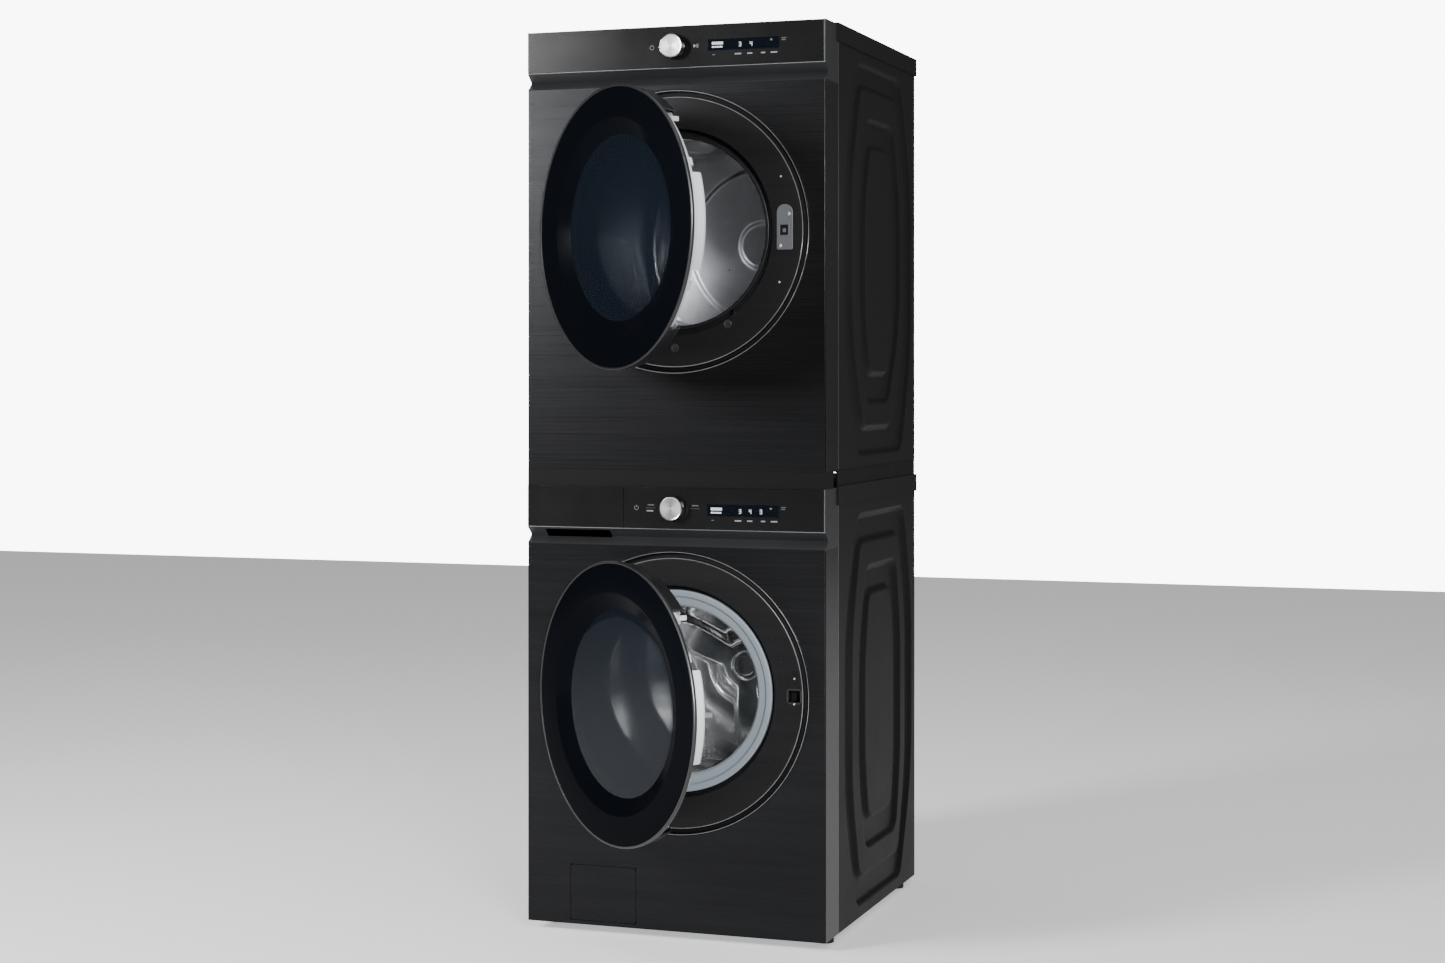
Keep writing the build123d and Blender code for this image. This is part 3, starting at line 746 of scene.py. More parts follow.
def circle(x: float, h: float, r: float, turns: int = 40) -> np.ndarray:
    """A circle's outline."""
    t = np.linspace(0, 2 * math.pi, turns, endpoint=False)
    return np.stack([x + r * np.cos(t), h + r * np.sin(t)], -1)


def bead(points: np.ndarray, r: float, sides: int = 8, closed: bool = False) -> Shape:
    """A round bead of radius r (metres) along points (n, 3).

    Each ring lies across the path's tangent, turned from one fixed side direction.

    Args:
        points: the middle line (n, 3) in metres.
        r: the bead's radius in metres.
        sides: points round the bead.
        closed: the line joins its own start.

    Returns:
        The shape.
    """
    tangent = np.gradient(points, axis=0)
    if closed:
        tangent = np.roll(points, -1, 0) - np.roll(points, 1, 0)
    tangent /= np.linalg.norm(tangent, axis=1)[:, None]
    side = np.cross(tangent, np.array([0.31, 0.17, 0.93]))
    side /= np.linalg.norm(side, axis=1)[:, None]
    other = np.cross(tangent, side)
    t = np.linspace(0, 2 * math.pi, sides, endpoint=False)[None, :, None]
    rings = points[:, None] + r * (np.cos(t) * side[:, None] + np.sin(t) * other[:, None])
    shape = Shape().grid(rings, wrap_rows=closed, wrap_cols=True)
    if not closed:
        shape.fan(rings[0], flip=True).fan(rings[-1])
    return shape


def inside_distance(points: np.ndarray, loop: np.ndarray) -> np.ndarray:
    """Signed distance of points (n, 2) from a closed loop, positive inside.

    The nearest of the loop's segments gives the size; counting the segments that cross a
    ray to the right gives the sign.

    Args:
        points: points (n, 2).
        loop: the closed loop (n, 2).

    Returns:
        One distance for each point.
    """
    a, b = loop, np.roll(loop, -1, 0)
    span = b - a
    best = np.full(len(points), np.inf)
    crossings = np.zeros(len(points), int)
    for start, run, end in zip(a, span, b):
        t = np.clip(((points - start) @ run) / (run @ run), 0, 1)
        best = np.minimum(best, np.linalg.norm(points - start - t[:, None] * run, axis=1))
        straddles = (start[1] > points[:, 1]) != (end[1] > points[:, 1])
        cut = start[0] + (points[:, 1] - start[1]) * run[0] / (run[1] if run[1] else 1e-9)
        crossings += straddles & (points[:, 0] < cut)
    return np.where(crossings % 2 == 1, best, -best)


def smooth(t: np.ndarray) -> np.ndarray:
    """The smoothstep 3t^2 - 2t^3 of t held between 0 and 1."""
    t = np.clip(t, 0, 1)
    return t * t * (3 - 2 * t)


# ---------------------------------------------------------------- the machines

X_DIR = np.array([1.0, 0.0, 0.0])
Y_DIR = np.array([0.0, 1.0, 0.0])
Z_DIR = np.array([0.0, 0.0, 1.0])
RING_H = 515.0
WASHER_AXIS_H = 519.0
DIAL_H = 915.5
HALF_W = 343.0
GLASS_B = 45.0


def machine_place(kind: str) -> Place:
    """A machine's frame, read from its front panel and floor pan.

    Args:
        kind: washer or dryer.

    Returns:
        The frame.
    """
    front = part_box(f"{kind}_front_panel")[0][1]
    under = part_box(f"{kind}_base")[0][2]
    return Place(np.array([0.0, front, under]), X_DIR, Y_DIR, Z_DIR)


def door_place(kind: str) -> Place:
    """The frame of a door's glass: turned about the hinge by the joint's closing travel.

    Args:
        kind: washer or dryer.

    Returns:
        The frame.
    """
    joint = next(j for j in frame["joints"] if j["name"] == f"{kind}_door_hinge")
    turn = math.radians(-joint["range_deg"][0])
    pivot = np.array(joint["pos_m"])
    ring = machine_place(kind).raised(RING_H)
    across = np.array([math.cos(turn), -math.sin(turn), 0.0])
    inward = np.array([math.sin(turn), math.cos(turn), 0.0])
    shut = ring.world(0.0, -GLASS_B, 0.0) - pivot
    origin = pivot + shut[0] * across + shut[1] * inward + np.array([0.0, 0.0, shut[2]])
    return Place(origin, across, inward, Z_DIR)


@dataclass
class Cabinet:
    """One machine's outer sheets."""

    kind: str
    paint: Palette
    depth: float = 746.0
    seam: float = 96.0
    height: float = 958.0
    emboss: float = 9.0
    ramp: float = 13.0
    spacing: float = 3.2

    def contours(self) -> list[np.ndarray]:
        """Four nested outlines (d, h), narrow at both ends and wide between.

        Each has straight ends, long slanted shoulders and upright middles, all rounded.

        Returns:
            The outlines, from the outermost in.
        """
        ends = {
            "dryer": ((252, 607, 896, 253, 622, 31), (272, 579, 848, 297, 532, 86),
                      (325, 544, 779, 326, 507, 146), (351, 516, 720, 347, 511, 207)),
            "washer": ((253, 640, 890, 240, 609, 31), (266, 595, 835, 262, 595, 84),
                       (321, 570, 771, 312, 569, 146), (339, 526, 717, 336, 536, 203)),
        }[self.kind]
        middles = ((149, 710), (199, 656), (262, 606), (303, 553))
        out = []
        for (t0, t1, top, b0, b1, low), (m0, m1) in zip(ends, middles):
            shoulder = 0.27 * (top - low)
            loop = [(t0, top, 42), (t1, top, 42), (m1, top - shoulder, 500), (m1, low + shoulder, 500),
                    (b1, low, 42), (b0, low, 42), (m0, low + shoulder, 500), (m0, top - shoulder, 500)]
            out.append(rounded(loop, steps=8))
        return out

    def side(self, sign: int) -> Object:
        """A pressed side panel: recess, plateau, recess, plateau from the outside in.

        The depth at a point is the alternating sum of smoothstep(signed distance / ramp).

        Args:
            sign: 1 for the right side, -1 for the left.

        Returns:
            The panel.
        """
        d = np.linspace(self.seam, self.depth, round((self.depth - self.seam) / self.spacing))
        h = np.linspace(0, self.height, round(self.height / self.spacing))
        dd, hh = np.meshgrid(d, h)
        flat = np.stack([dd.ravel(), hh.ravel()], -1)
        sunk = np.zeros(len(flat))
        for i, loop in enumerate(self.contours()):
            sunk += (-1) ** i * smooth(inside_distance(flat, loop) / self.ramp + 0.5)
        x = sign * (HALF_W - self.emboss * sunk.reshape(dd.shape))
        place = machine_place(self.kind)
        shape = Shape().grid(place.world(x, dd, hh), flip=sign < 0)
        back = place.world(np.full(dd[::30, ::30].shape, sign * (HALF_W - 12)), dd[::30, ::30],
                           hh[::30, ::30])
        shape.grid(back, flip=sign > 0)
        side = "right" if sign > 0 else "left"
        stands_for = [f"{self.kind}_side_panels"] if sign > 0 else []
        return shape.make(f"{self.kind}_side_{side}", "cabinet", self.paint["side_paint"], closed=False,
                          stands_for=stands_for, slot="black_painted_steel", sharp=60)

    def trims(self) -> None:
        """Rolled edges of the front sheets: thin beads in a steel far brighter than the sheets, painted
        highlight lines.
        """
        place = machine_place(self.kind)
        edges = {
            "top_edge": [(-342.3, 0.9, 832.6), (342.3, 0.9, 832.6)],
            "glass_edge_highlight": [(-342.6, 0.5, 869.7), (342.6, 0.5, 869.7)],
            "seam_right": [(342.6, 96, 2), (342.6, 96, 922)],
            "glass_end": [(340.2, 0.6, 870), (340.2, 0.6, 960.5)],
        }
        for name, ends in edges.items():
            t = np.linspace(0, 1, 12)[:, None]
            line = np.array(ends[0], float) * (1 - t) + np.array(ends[1], float) * t
            points = place.world(line[:, 0], line[:, 1], line[:, 2])
            bead(points, 0.8 * MM).make(f"{self.kind}_{name}", "cabinet", self.paint["painted_highlight_steel"],
                                        slot="black_stainless")
        ring = place.raised(RING_H)
        lip = rounded([(304.6, 12), (304.6, 0.6, 1.4), (308.5, -0.5, 1.0), (308.5, 0.4), (306, 1.0),
                       (306, 12)])
        lathe(ring, lip, 192).make(f"{self.kind}_hole_lip", "cabinet", self.paint["front_steel"],
                                   slot="black_stainless")

    def build(self) -> None:
        """Make the sheets and dress the CAD nodes that stay."""
        for sign in (1, -1):
            self.side(sign)
        self.trims()
        finishes = {
            "front_panel": "front_steel", "control_housing": "groove_paint", "top_lid": "side_paint",
            "base": "zinc_sheet", "rear_panel": "zinc_sheet",
        }
        for node, finish in finishes.items():
            dress(f"{self.kind}_{node}", self.paint[finish])


def dress(node: str, material: Material) -> None:
    """Give a CAD node one material.

    Args:
        node: the CAD node's name.
        material: the material.
    """
    mesh = frame["nodes"][node].data
    mesh.materials.clear()
    mesh.materials.append(material)


@dataclass
class Controls:
    """A machine's control panel: glossy front, dial, display and marks."""

    kind: str
    paint: Palette
    left: float
    digits: tuple[tuple[float, str], ...]
    power_x: float
    play_x: float | None
    display: tuple[float, float, float, float] = (79.0, 240.0, 903.5, 928.0)

    def place(self) -> Place:
        """The machine's frame."""
        return machine_place(self.kind)

    def panel(self) -> Object:
        """The glossy panel: a plate with softly rounded edges.

        Returns:
            The panel.
        """
        outline = rectangle((self.left, 340.0), (870.6, 960.4), 1.0)
        return slab(self.place(), outline, 0.0, 4.0, 0.8).make(
            f"{self.kind}_panel_face", "cabinet", self.paint["panel_gloss"],
            stands_for=[f"{self.kind}_control_glass"], slot="gloss_black_panel")

    def dial(self) -> None:
        """The dial: a spun disc face, a rounded edge, a polished flared side and a dark base ring."""
        place = self.place().raised(DIAL_H)
        body = f"{self.kind}_dial"
        face = np.array([(0.0, -20.3), (6, -20.35), (12, -20.4), (18, -20.5), (23.0, -20.6)])
        rim = rounded([(23.0, -20.6), (24.6, -21.0, 0.8), (25.6, -19.6, 1.2), (26.9, -4.0, 2.0),
                       (26.2, -0.9, 1.0),
                       (0, -0.7)], closed=False)
        shape = lathe(place, face, 96, closed=False, slot=0)
        side = lathe(place, rim, 96, closed=False, slot=1)
        joined = merge(shape, side)
        joined.make(body + "_knob", body, self.paint["spun_face"], self.paint["knob_side"],
                    stands_for=[body], slot="spun_aluminium", sharp=40)
        collar = rounded([(27.4, -0.8, 0.3), (29.0, -0.8, 0.3), (29.0, 0.2), (27.4, 0.2)])
        lathe(place, collar, 72).make(f"{self.kind}_dial_collar", "cabinet", self.paint["black_and_painted_shade"],
                                      slot="gloss_black_panel")

    def mark(self, name: str, outlines: Sequence[np.ndarray], finish: str,
             raise_by: float = 0.15) -> None:
        """Flat marks that stand a hair proud of the panel.

        Args:
            name: the end of the piece's name.
            outlines: closed outlines (n, 2) of x and h.
            finish: the finish's name in the palette.
            raise_by: how far the marks stand off the panel.
        """
        shape = Shape()
        for outline in outlines:
            slab(self.place(), outline, -raise_by, 0.3, 0.04, shape=shape)
        shape.make(f"{self.kind}_{name}", "cabinet", self.paint[finish], slot="gloss_black_panel")

    def figure(self, x: float, h: float, text: str, tall: float = 9.5, wide: float = 5.2,
               line: float = 1.1) -> list[np.ndarray]:
        """One seven-stroke figure: each lit stroke is a small rounded bar.

        Args:
            x: x of the figure's left edge.
            h: h of its foot.
            text: the digit, "3" or "4".
            tall: its height.
            wide: its width.
            line: a stroke's width.

        Returns:
            The lit strokes' outlines.
        """
        strokes = {"3": "abgcd", "4": "fgbc"}[text]
        mid, top = tall / 2, tall
        bars = {
            "a": ((0, wide), (top - line, top)), "b": ((wide - line, wide), (mid, top)),
            "c": ((wide - line, wide), (0, mid)), "d": ((0, wide), (0, line)),
            "e": ((0, line), (0, mid)), "f": ((0, line), (mid, top)),
            "g": ((0, wide), (mid - line / 2, mid + line / 2)),
        }
        return [rectangle((x + a, x + b), (h + c, h + d), 0.35, 2)
                for (a, b), (c, d) in (bars[s] for s in strokes)]

    def build(self) -> None:
        """Make the panel, the dial, the display and its marks."""
        self.panel()
        self.dial()
        x0, x1, h0, h1 = self.display
        self.mark("display", [rectangle((x0, x1), (h0, h1), 0.6)], "window_tint", 0.1)
        lit = []
        for x, text in self.digits:
            lit += self.figure(x, h0 + 6.5, text)
        bars = [rectangle((x0 + 9 + s, x0 + 9 + s + w), (h0 + 12.5, h0 + 18.5), 0.5, 2)
                for s, w in ((0, 3.6), (4.6, 3.2), (8.8, 3.2), (13.0, 4.4), (18.6, 3.4), (23.0, 2.0))]
        lit += bars
        lit += [rectangle((x0 + 9 + s, x0 + 9 + s + w), (h0 + 6, h0 + 9.2), 0.3, 2)
                for s, w in ((0, 5.5), (6.5, 4.0), (11.5, 6.0), (18.5, 5.0))]
        self.mark("display_figures", lit, "display_light", 0.22)
        waves = []
        for r in (1.6, 3.2, 4.8):
            t = np.radians(np.linspace(50, 130, 9))
            outer = np.stack([x1 - 18 + r * np.cos(t), h0 + 15 + r * np.sin(t)], -1)
            inner = np.stack([x1 - 18 + (r - 0.7) * np.cos(t), h0 + 15 + (r - 0.7) * np.sin(t)], -1)
            waves.append(np.vstack([outer, inner[::-1]]))
        self.mark("display_waves", waves, "label_light", 0.22)
        below = []
        for x, wide in ((140, 15), (168, 12), (199, 10), (221, 15)):
            below += [rectangle((x + s, x + s + wide / 4 - 0.7), (h0 - 10.5, h0 - 7.6), 0.3, 2)
                      for s in np.arange(4) * wide / 4]
        self.mark("labels", below, "label_light")
        faint = [rectangle((x1 + 5, x1 + 16), (h1 - 5, h1 - 3), 0.3, 2),
                 rectangle((x1 + 5, x1 + 14), (h1 - 9, h1 - 7), 0.3, 2),
                 rectangle((x0 + 10, x0 + 16), (h0 - 10, h0 - 8), 0.3, 2)]
        self.mark("faint_labels", faint, "faint_light")
        place = self.place()
        t = np.radians(np.linspace(125, 415, 30))
        ring = place.world(self.power_x + 4.6 * np.cos(t), -0.1 + 0 * t, DIAL_H + 4.6 * np.sin(t))
        bead(ring, 0.35 * MM, 6).make(f"{self.kind}_power_ring", "cabinet", self.paint["label_light"],
                                      slot="gloss_black_panel")
        self.mark("power_stroke", [rectangle((self.power_x - 0.35, self.power_x + 0.35),
                                             (DIAL_H + 1.5, DIAL_H + 6.0), 0.2, 2)], "label_light")
        if self.play_x is not None:
            x, h = self.play_x, DIAL_H
            left = rounded([(x - 5, h - 4), (x + 0.5, h), (x - 5, h + 4)])
            bars = [rectangle((x + 2.0, x + 2.9), (h - 4, h + 4), 0.2, 2),
                    rectangle((x + 4.6, x + 5.5), (h - 4, h + 4), 0.2, 2)]
            self.mark("play", [left, *bars], "label_light")
        else:
            sides = []
            for x in (-64, 38):
                sides += [rectangle((x, x + 22), (DIAL_H - 0.3, DIAL_H + 0.3), 0.1, 2),
                          rectangle((x + 4, x + 19), (DIAL_H + 5, DIAL_H + 7.6), 0.3, 2)]
            self.mark("side_lines", sides, "faint_light")
            self.mark("side_label", [rectangle((-62 + s, -60.2 + s), (DIAL_H - 8, DIAL_H - 5), 0.3, 2)
                                     for s in (0, 2.6, 5.2, 7.8, 10.4, 13.0)], "label_light")


def merge(*shapes: Shape) -> Shape:
    """One shape that holds the patches of several.

    Args:
        shapes: the shapes to join.

    Returns:
        The joined shape.
    """
    whole = Shape()
    for shape in shapes:
        start = whole.count
        whole.points += shape.points
        whole.faces += [faces + start for faces in shape.faces]
        whole.uvs += shape.uvs
        whole.slots += shape.slots
        whole.count += shape.count
    return whole


@dataclass
class Door:
    """A round door, drawn behind its glass."""

    kind: str
    paint: Palette
    handle: tuple[float, float]
    deck_r: float
    outer_r: float = 299.3
    grip_r: float = 277.0
    depth: float = 39.0
    turns: int = 192

    def body(self) -> str:
        """The CAD body's name."""
        return f"{self.kind}_door"

    def glass(self) -> None:
        """The flat black annulus, its edge, the conical reveal and the set-back tinted window."""
        place = door_place(self.kind)
        front = rounded([(293.6, 4), (293.6, 0.2, 0.8), (232.0, 0.0, 14), (197.0, 17.0),
                         (198.0, 20.5), (233, 4.2)],
                        steps=8)
        lathe(place, front, self.turns).make(
            f"{self.kind}_door_face", self.body(), self.paint["door_black"],
            stands_for=[f"{self.kind}_door_glass"], slot="black_glass")
        r = np.append(np.linspace(0, 196, 12), [197.2, 197.2])
        b = np.append(17.2 - 2.0 * np.cos(r[:12] / 196 * math.pi / 2), [17.3, 20.0])
        back = np.array([(100, 19.0), (0, 18.0)])
        lathe(place, np.vstack([np.stack([r, b], -1), back]), self.turns, closed=False).make(
            f"{self.kind}_door_window", self.body(), self.paint["window_tint"], slot="black_glass")

    def rim(self) -> None:
        """The outer band: a thin bezel all round and a deep wall except at the hand and the hinge."""
        place = door_place(self.kind)
        low, high = self.handle
        bezel = rounded([(293.9, 0.9, 0.4), (294.6, -0.3, 0.8), (298.4, -0.3, 1.5),
                         (self.outer_r, 1.6, 1.2),
                         (self.outer_r, 6.4), (296.0, 6.6), (293.9, 5.0)])
        shape = lathe(place, bezel, self.turns)
        wall = rounded([(299.2, 6.0), (293.4, 37.6, 3), (291.0, self.depth, 1.5), (283, self.depth),
                        (283, 36.6),
                        (290.2, 36.6), (296.2, 6.0)])
        notch = math.degrees(math.asin(66.5 / 290))
        for arc in ((high, 180 - notch), (180 + notch, 360 + low)):
            shape = merge(shape, lathe(place, wall, 96, arc=arc))
        shape.make(f"{self.kind}_door_band", self.body(), self.paint["rim_plastic"],
                   stands_for=[f"{self.kind}_door_rim"], slot="black_rim", closed=False)

    def liner(self) -> None:
        """The pale moulding: ring plate, inner wall and deck, grip block, gussets, bumps and a tab."""
        place = door_place(self.kind)
        low, high = self.handle
        notch = math.degrees(math.asin(66.5 / 236))
        plate = rounded([(292.6, 4.4), (292.6, 8.2, 1.0), (240, 8.2), (240, 30), (239, self.depth, 3),
                         (self.deck_r, self.depth, 2), (self.deck_r, 36), (236.5, 36), (236.5, 4.4)])
        shape = lathe(place, plate, 150, arc=(180 + notch - 360, 180 - notch))
        lip = 20.0 if self.kind == "dryer" else 10.5
        strip = rounded([(282, 8), (284, lip, 0.8), (288.5, lip, 0.8), (291.5, 8)])
        shape = merge(shape, lathe(place, strip, 40, arc=(low, high)))
        top, grip = self.depth + 4.0, self.grip_r
        block = rounded([(238, 8), (grip, 8), (grip, 37.4, 3), (grip - 3, top, 1.5), (238, top)])
        shape = merge(shape, lathe(place, block, 40, arc=(-20, 20)))
        deck = rounded([(238, 36), (283, 36), (283, self.depth, 1.0), (238, self.depth)])
        wide = math.degrees(math.asin(66.5 / 283))
        for arc in ((high + 0.6, 180 - wide), (180 + wide, 360 + low - 0.6)):
            shape = merge(shape, lathe(place, deck, 80, arc=arc))
        for at, turn in ((high, -1), (low, 1)):
            gusset = rounded([(270, 8), (289, 8), (287, 24, 4), (272, 34, 4)])
            arc = tuple(sorted((at + 0.2 * turn, at + 4.0 * turn)))
            shape = merge(shape, lathe(place, gusset, 8, arc=arc))
        for at in (25.0, -27.0):
            bump = rounded([(274, 8), (289, 8), (287.5, lip + 9, 4), (276, lip + 9, 4)])
            shape = merge(shape, lathe(place, bump, 10, arc=(at - 1.7, at + 1.7)))
        t = math.radians(high - 1.5)
        x, z = 278 * math.cos(t), 278 * math.sin(t)
        tab = slab(place, rectangle((x - 6, x + 4), (z - 5, z + 5), 1.0), 30.0, 47.0, 1.0)
        shape = merge(shape, tab)
        shape.make(f"{self.kind}_door_moulding", self.body(), self.paint["pale_plastic"],
                   stands_for=[f"{self.kind}_door_liner"], slot="pale_liner", closed=False)

    def inner_glass(self) -> None:
        """The washer's deep bowl or the dryer's shallow glass, an even wall with a rolled rim."""
        place = door_place(self.kind)
        if self.kind == "washer":
            outer = [(177, 35.8), (170, 35.9, 2), (168, 60, 60), (165, 81, 60), (158, 110, 40),
                     (148, 130, 20),
                     (128, 141, 30), (0, 143)]
            inner = [(0, 139.5), (127, 137, 30), (144, 127, 20), (154, 108, 40), (161, 80, 60),
                     (164, 60, 60),
                     (166, 32.2, 2), (177, 32.2)]
            node, name = "washer_door_bowl", "washer_door_bowl_glass"
        else:
            outer = [(195, 35.8), (188, 35.9, 2), (186, 48, 8), (170, 55, 14), (0, 57)]
            inner = [(0, 53.5), (168, 51, 14), (182, 46, 8), (184, 32.2, 2), (195, 32.2)]
            node, name = "dryer_door_inner_glass", "dryer_door_inner_pane"
        path = np.vstack([rounded(outer, closed=False, steps=8), rounded(inner, closed=False, steps=8)])
        tint = self.paint["bowl_glass" if self.kind == "washer" else "pane_glass"]
        lathe(place, path, 160, closed=True).make(name, self.body(), tint,
                                                  stands_for=[node], slot="clear_glass", sharp=50)
        # Pale beads on the glass's edges: painted highlight rings.
        edges = (((163.5, 78.0), (131.0, 139.5)) if self.kind == "washer"
                 else ((181.5, 50.0), (170.0, 54.0)))
        t = np.radians(np.arange(0, 360, 3))
        for i, (r, b) in enumerate(edges):
            ring = place.world(r * np.cos(t), b + 0 * t, r * np.sin(t))
            bead(ring, 0.8 * MM, 6, closed=True).make(f"{self.kind}_glass_highlight_ring_{i}", self.body(),
                                                      self.paint["glass_edge_highlight"], slot="clear_glass")

    def build(self) -> None:
        """Make the door's pieces and dress its hinge."""
        self.glass()
        self.rim()
        self.liner()
        self.inner_glass()
        dress(f"{self.kind}_door_hinge_leaf", self.paint["hinge_steel"])


@dataclass
class WasherMouth:
    """The washer's opening: surround, lock slot, gasket, drum and lifters."""

    paint: Palette
    drum_r: float = 262.0

    def surround(self) -> None:
        """The plate round the opening, with the sunk channel outside it and a turned-in mouth."""
        ring = machine_place("washer").raised(RING_H)
        mouth = machine_place("washer").raised(WASHER_AXIS_H)
        t = np.radians(np.linspace(0, 360, 192, endpoint=False))[:, None]
        outer = rounded([(314, 14), (314, 12), (292.3, 12), (292, 3, 1.8), (287.5, 3)], closed=False)
        share = np.linspace(0, 1, 8)
        x_o, z_o = 256.5 * np.cos(t), 256.5 * np.sin(t)
        lift = WASHER_AXIS_H - RING_H
        x_i, z_i = 230 * np.cos(t), 230 * np.sin(t) + lift
        x = x_o * (1 - share) + x_i * share
        z = z_o * (1 - share) + z_i * share
        plate = Shape().grid(ring.world(x, np.full(x.shape, 3.0), z), wrap_rows=True)
        slotted = np.array([(287.5, 3.0), (256.5, 3.0)])
        plate = merge(lathe(ring, outer, 192, closed=False),
                      lathe(ring, slotted, 188, closed=False, arc=(4.0, 358.0)), plate)
        lip = rounded([(230.2, 3), (228, 3, 1.6), (228, 26), (229.5, 26)], closed=False)
        plate = merge(plate, lathe(mouth, lip, 192, closed=False))
        channel(self.paint, "washer")
        plate.make("washer_mouth_plate", "cabinet", self.paint["surround_plate"], closed=False,
                   stands_for=["washer_door_surround"], slot="black_plate")

    def fittings(self) -> None:
        """The lock slot's frame, the spare hole and two screws."""
        ring = machine_place("washer").raised(RING_H)
        pocket = Shape()
        for x, h in (((255, 289), (-12, -8)), ((255, 289), (17, 21)), ((255, 259), (-12, 21)),
                     ((285, 289), (-12, 21))):
            slab(ring, rectangle(x, h, 0.8, 3), 2.4, 8.0, 0.6, shape=pocket)
        pocket.make("washer_lock_frame", "cabinet", self.paint["rim_plastic"], slot="lock_plastic")
        slab(ring, circle(272.7, 55, 4.5), 2.7, 5, 0.3).make(
            "washer_spare_hole", "cabinet", self.paint["black_and_painted_shade"], slot="lock_plastic")
        for i, (x, h) in enumerate(((272.3, 42.4), (271.6, -11.8))):
            screw(ring, x, h, 2.4, 3.0, self.paint["hinge_steel"], f"washer_lock_screw_{i}")

    def gasket(self) -> None:
        """The rubber bellows: a sloping face with a step, a soft inner lip and folds to the tub."""
        place = machine_place("washer").raised(WASHER_AXIS_H)
        section = rounded([
            (219, 12, 1.5), (206, 16.0, 3), (201.5, 21.5, 1.5), (186, 27.5, 6), (181, 34, 4),
            (183, 41, 3),
            (203, 38, 3), (203, 58, 4), (193, 64, 4), (193, 82, 4), (204, 88, 4), (204, 117),
            (208, 117),
            (208, 85, 4), (197, 79, 4), (197, 67, 4), (210, 61, 4), (216, 44, 3), (219, 19)])
        # A near-black ring closing the gap between the gasket and the mouth's lip: painted shade.
        gap_shade_ring = rounded([(214, 26), (229, 26), (229, 28), (214, 28)])
        lathe(place, gap_shade_ring, 120).make("washer_gap_shade_ring", "cabinet", self.paint["black_and_painted_shade"],
                                     slot="grey_rubber")
        lathe(place, section, 192).make("washer_gasket_bellows", "cabinet", self.paint["gasket_rubber"],
                                        stands_for=["washer_gasket"], slot="grey_rubber")

    def drum(self) -> None:
        """The drum: perforated wall with pressed waists, rolled lip and a back with a three-armed boss.

        The wall's radius is r - 2.2 (1 + cos(6 angle)) sin(pi depth). The boss's edge lies at
        76 + 172 max(0, cos(3 (angle - 35 deg)))^3, and a round cap sits in its hub.
        """
        place = machine_place("washer").raised(WASHER_AXIS_H)
        t = np.radians(np.linspace(0, 360, 240, endpoint=False))[:, None]
        s = np.linspace(0, 1, 30)[None]
        r = self.drum_r - 2.0 - 2.2 * (1 + np.cos(6 * t)) * np.sin(math.pi * s)
        d = 134 + 384 * s + 0 * t
        uv = np.stack([t * self.drum_r * MM + 0 * s, d * MM], -1)
        shape = Shape().grid(place.world(r * np.cos(t), d, r * np.sin(t)), wrap_rows=False, uv=uv,
                             slot=0)
        shape.grid(place.world((r * np.cos(t))[[-1, 0]], d[[-1, 0]], (r * np.sin(t))[[-1, 0]]),
                   uv=np.stack([np.array([[6.2568], [6.2832]]) * self.drum_r * MM + 0 * s,
                                d[[-1, 0]] * MM], -1))
        q = np.concatenate([np.linspace(1, 0.17, 40), np.linspace(0.16, 0.0, 24)])[None]
        rb = (self.drum_r - 2.0) * q
        edge = 76 + 172 * np.clip(np.cos(3 * (t - math.radians(35))), 0, 1) ** 3
        dish = (517 - 30 * smooth((edge - rb) / 44 + 0.5)
                - 10 * smooth((rb - 60) / 180) * np.sin(math.pi * q))
        dish = dish + 9 * smooth((34 - rb) / 5) - 5 * smooth((25 - rb) / 3)
        shape.grid(place.world(rb * np.cos(t), dish, rb * np.sin(t)), wrap_rows=True, slot=1)
        front = rounded([(self.drum_r, 520), (self.drum_r, 133, 6), (215, 131, 4), (206, 133.5, 2),
                         (207, 137, 1),
                         (self.drum_r - 2, 136.5)], closed=False)
        shape = merge(shape, lathe(place, front, 160, closed=False, slot=1))
        shape.make("washer_drum_shell", "washer_drum", self.paint["washer_drum_wall"],
                   self.paint["washer_drum_steel"], closed=False, stands_for=["washer_drum"],
                   slot="drum_steel",
                   sharp=50)

    def build(self) -> None:
        """Make the opening, its drum and its lifters."""
        self.surround()
        self.fittings()
        self.gasket()
        self.drum()
        lifters("washer", 519.0, 258.0, (150, 500), (142, 262, 22), (38, 18, 57),
                self.paint["washer_drum_steel"])


def lifters(kind: str, height: float, foot: float, d: Sequence[float], angles: Sequence[float],
            section: Sequence[float], material: Material) -> None:
    """Three hollow-pressed lifters: a rounded ridge that swells and sinks again along the drum.

    The ridge's height is tall sin(pi s)^0.35 along its length; its section rises
    smoothly from each foot to a flat crest.

    Args:
        kind: washer or dryer.
        height: h of the drum's axis.
        foot: distance of a lifter's foot from the axis.
        d: first and last depth.
        angles: where the lifters stand, in degrees.
        section: half width at the feet, half width of the crest, and height.
        material: the material.
    """
    place = machine_place(kind).raised(height)
    half, crest, tall = section
    s = np.linspace(0, 1, 40)[:, None]
    w = np.linspace(-1, 1, 25)[None]
    rise = (tall * np.sin(math.pi * np.clip(s, 0.002, 0.998)) ** 0.35
            * smooth((1 - np.abs(w)) / (1 - crest / half)))
    across = half * w + 0 * s
    depth = d[0] + (d[1] - d[0]) * s + 0 * w
    shape = Shape()
    for angle in np.radians(angles):
        r = np.sqrt(np.maximum(foot ** 2 - across ** 2, 1.0)) - rise
        x = r * math.cos(angle) - across * math.sin(angle)
        z = r * math.sin(angle) + across * math.cos(angle)
        shape.grid(place.world(x, depth, z))
    shape.make(f"{kind}_lifter_pressings", f"{kind}_drum", material, closed=False,
               stands_for=[f"{kind}_drum_lifters"], slot="drum_steel", sharp=50)


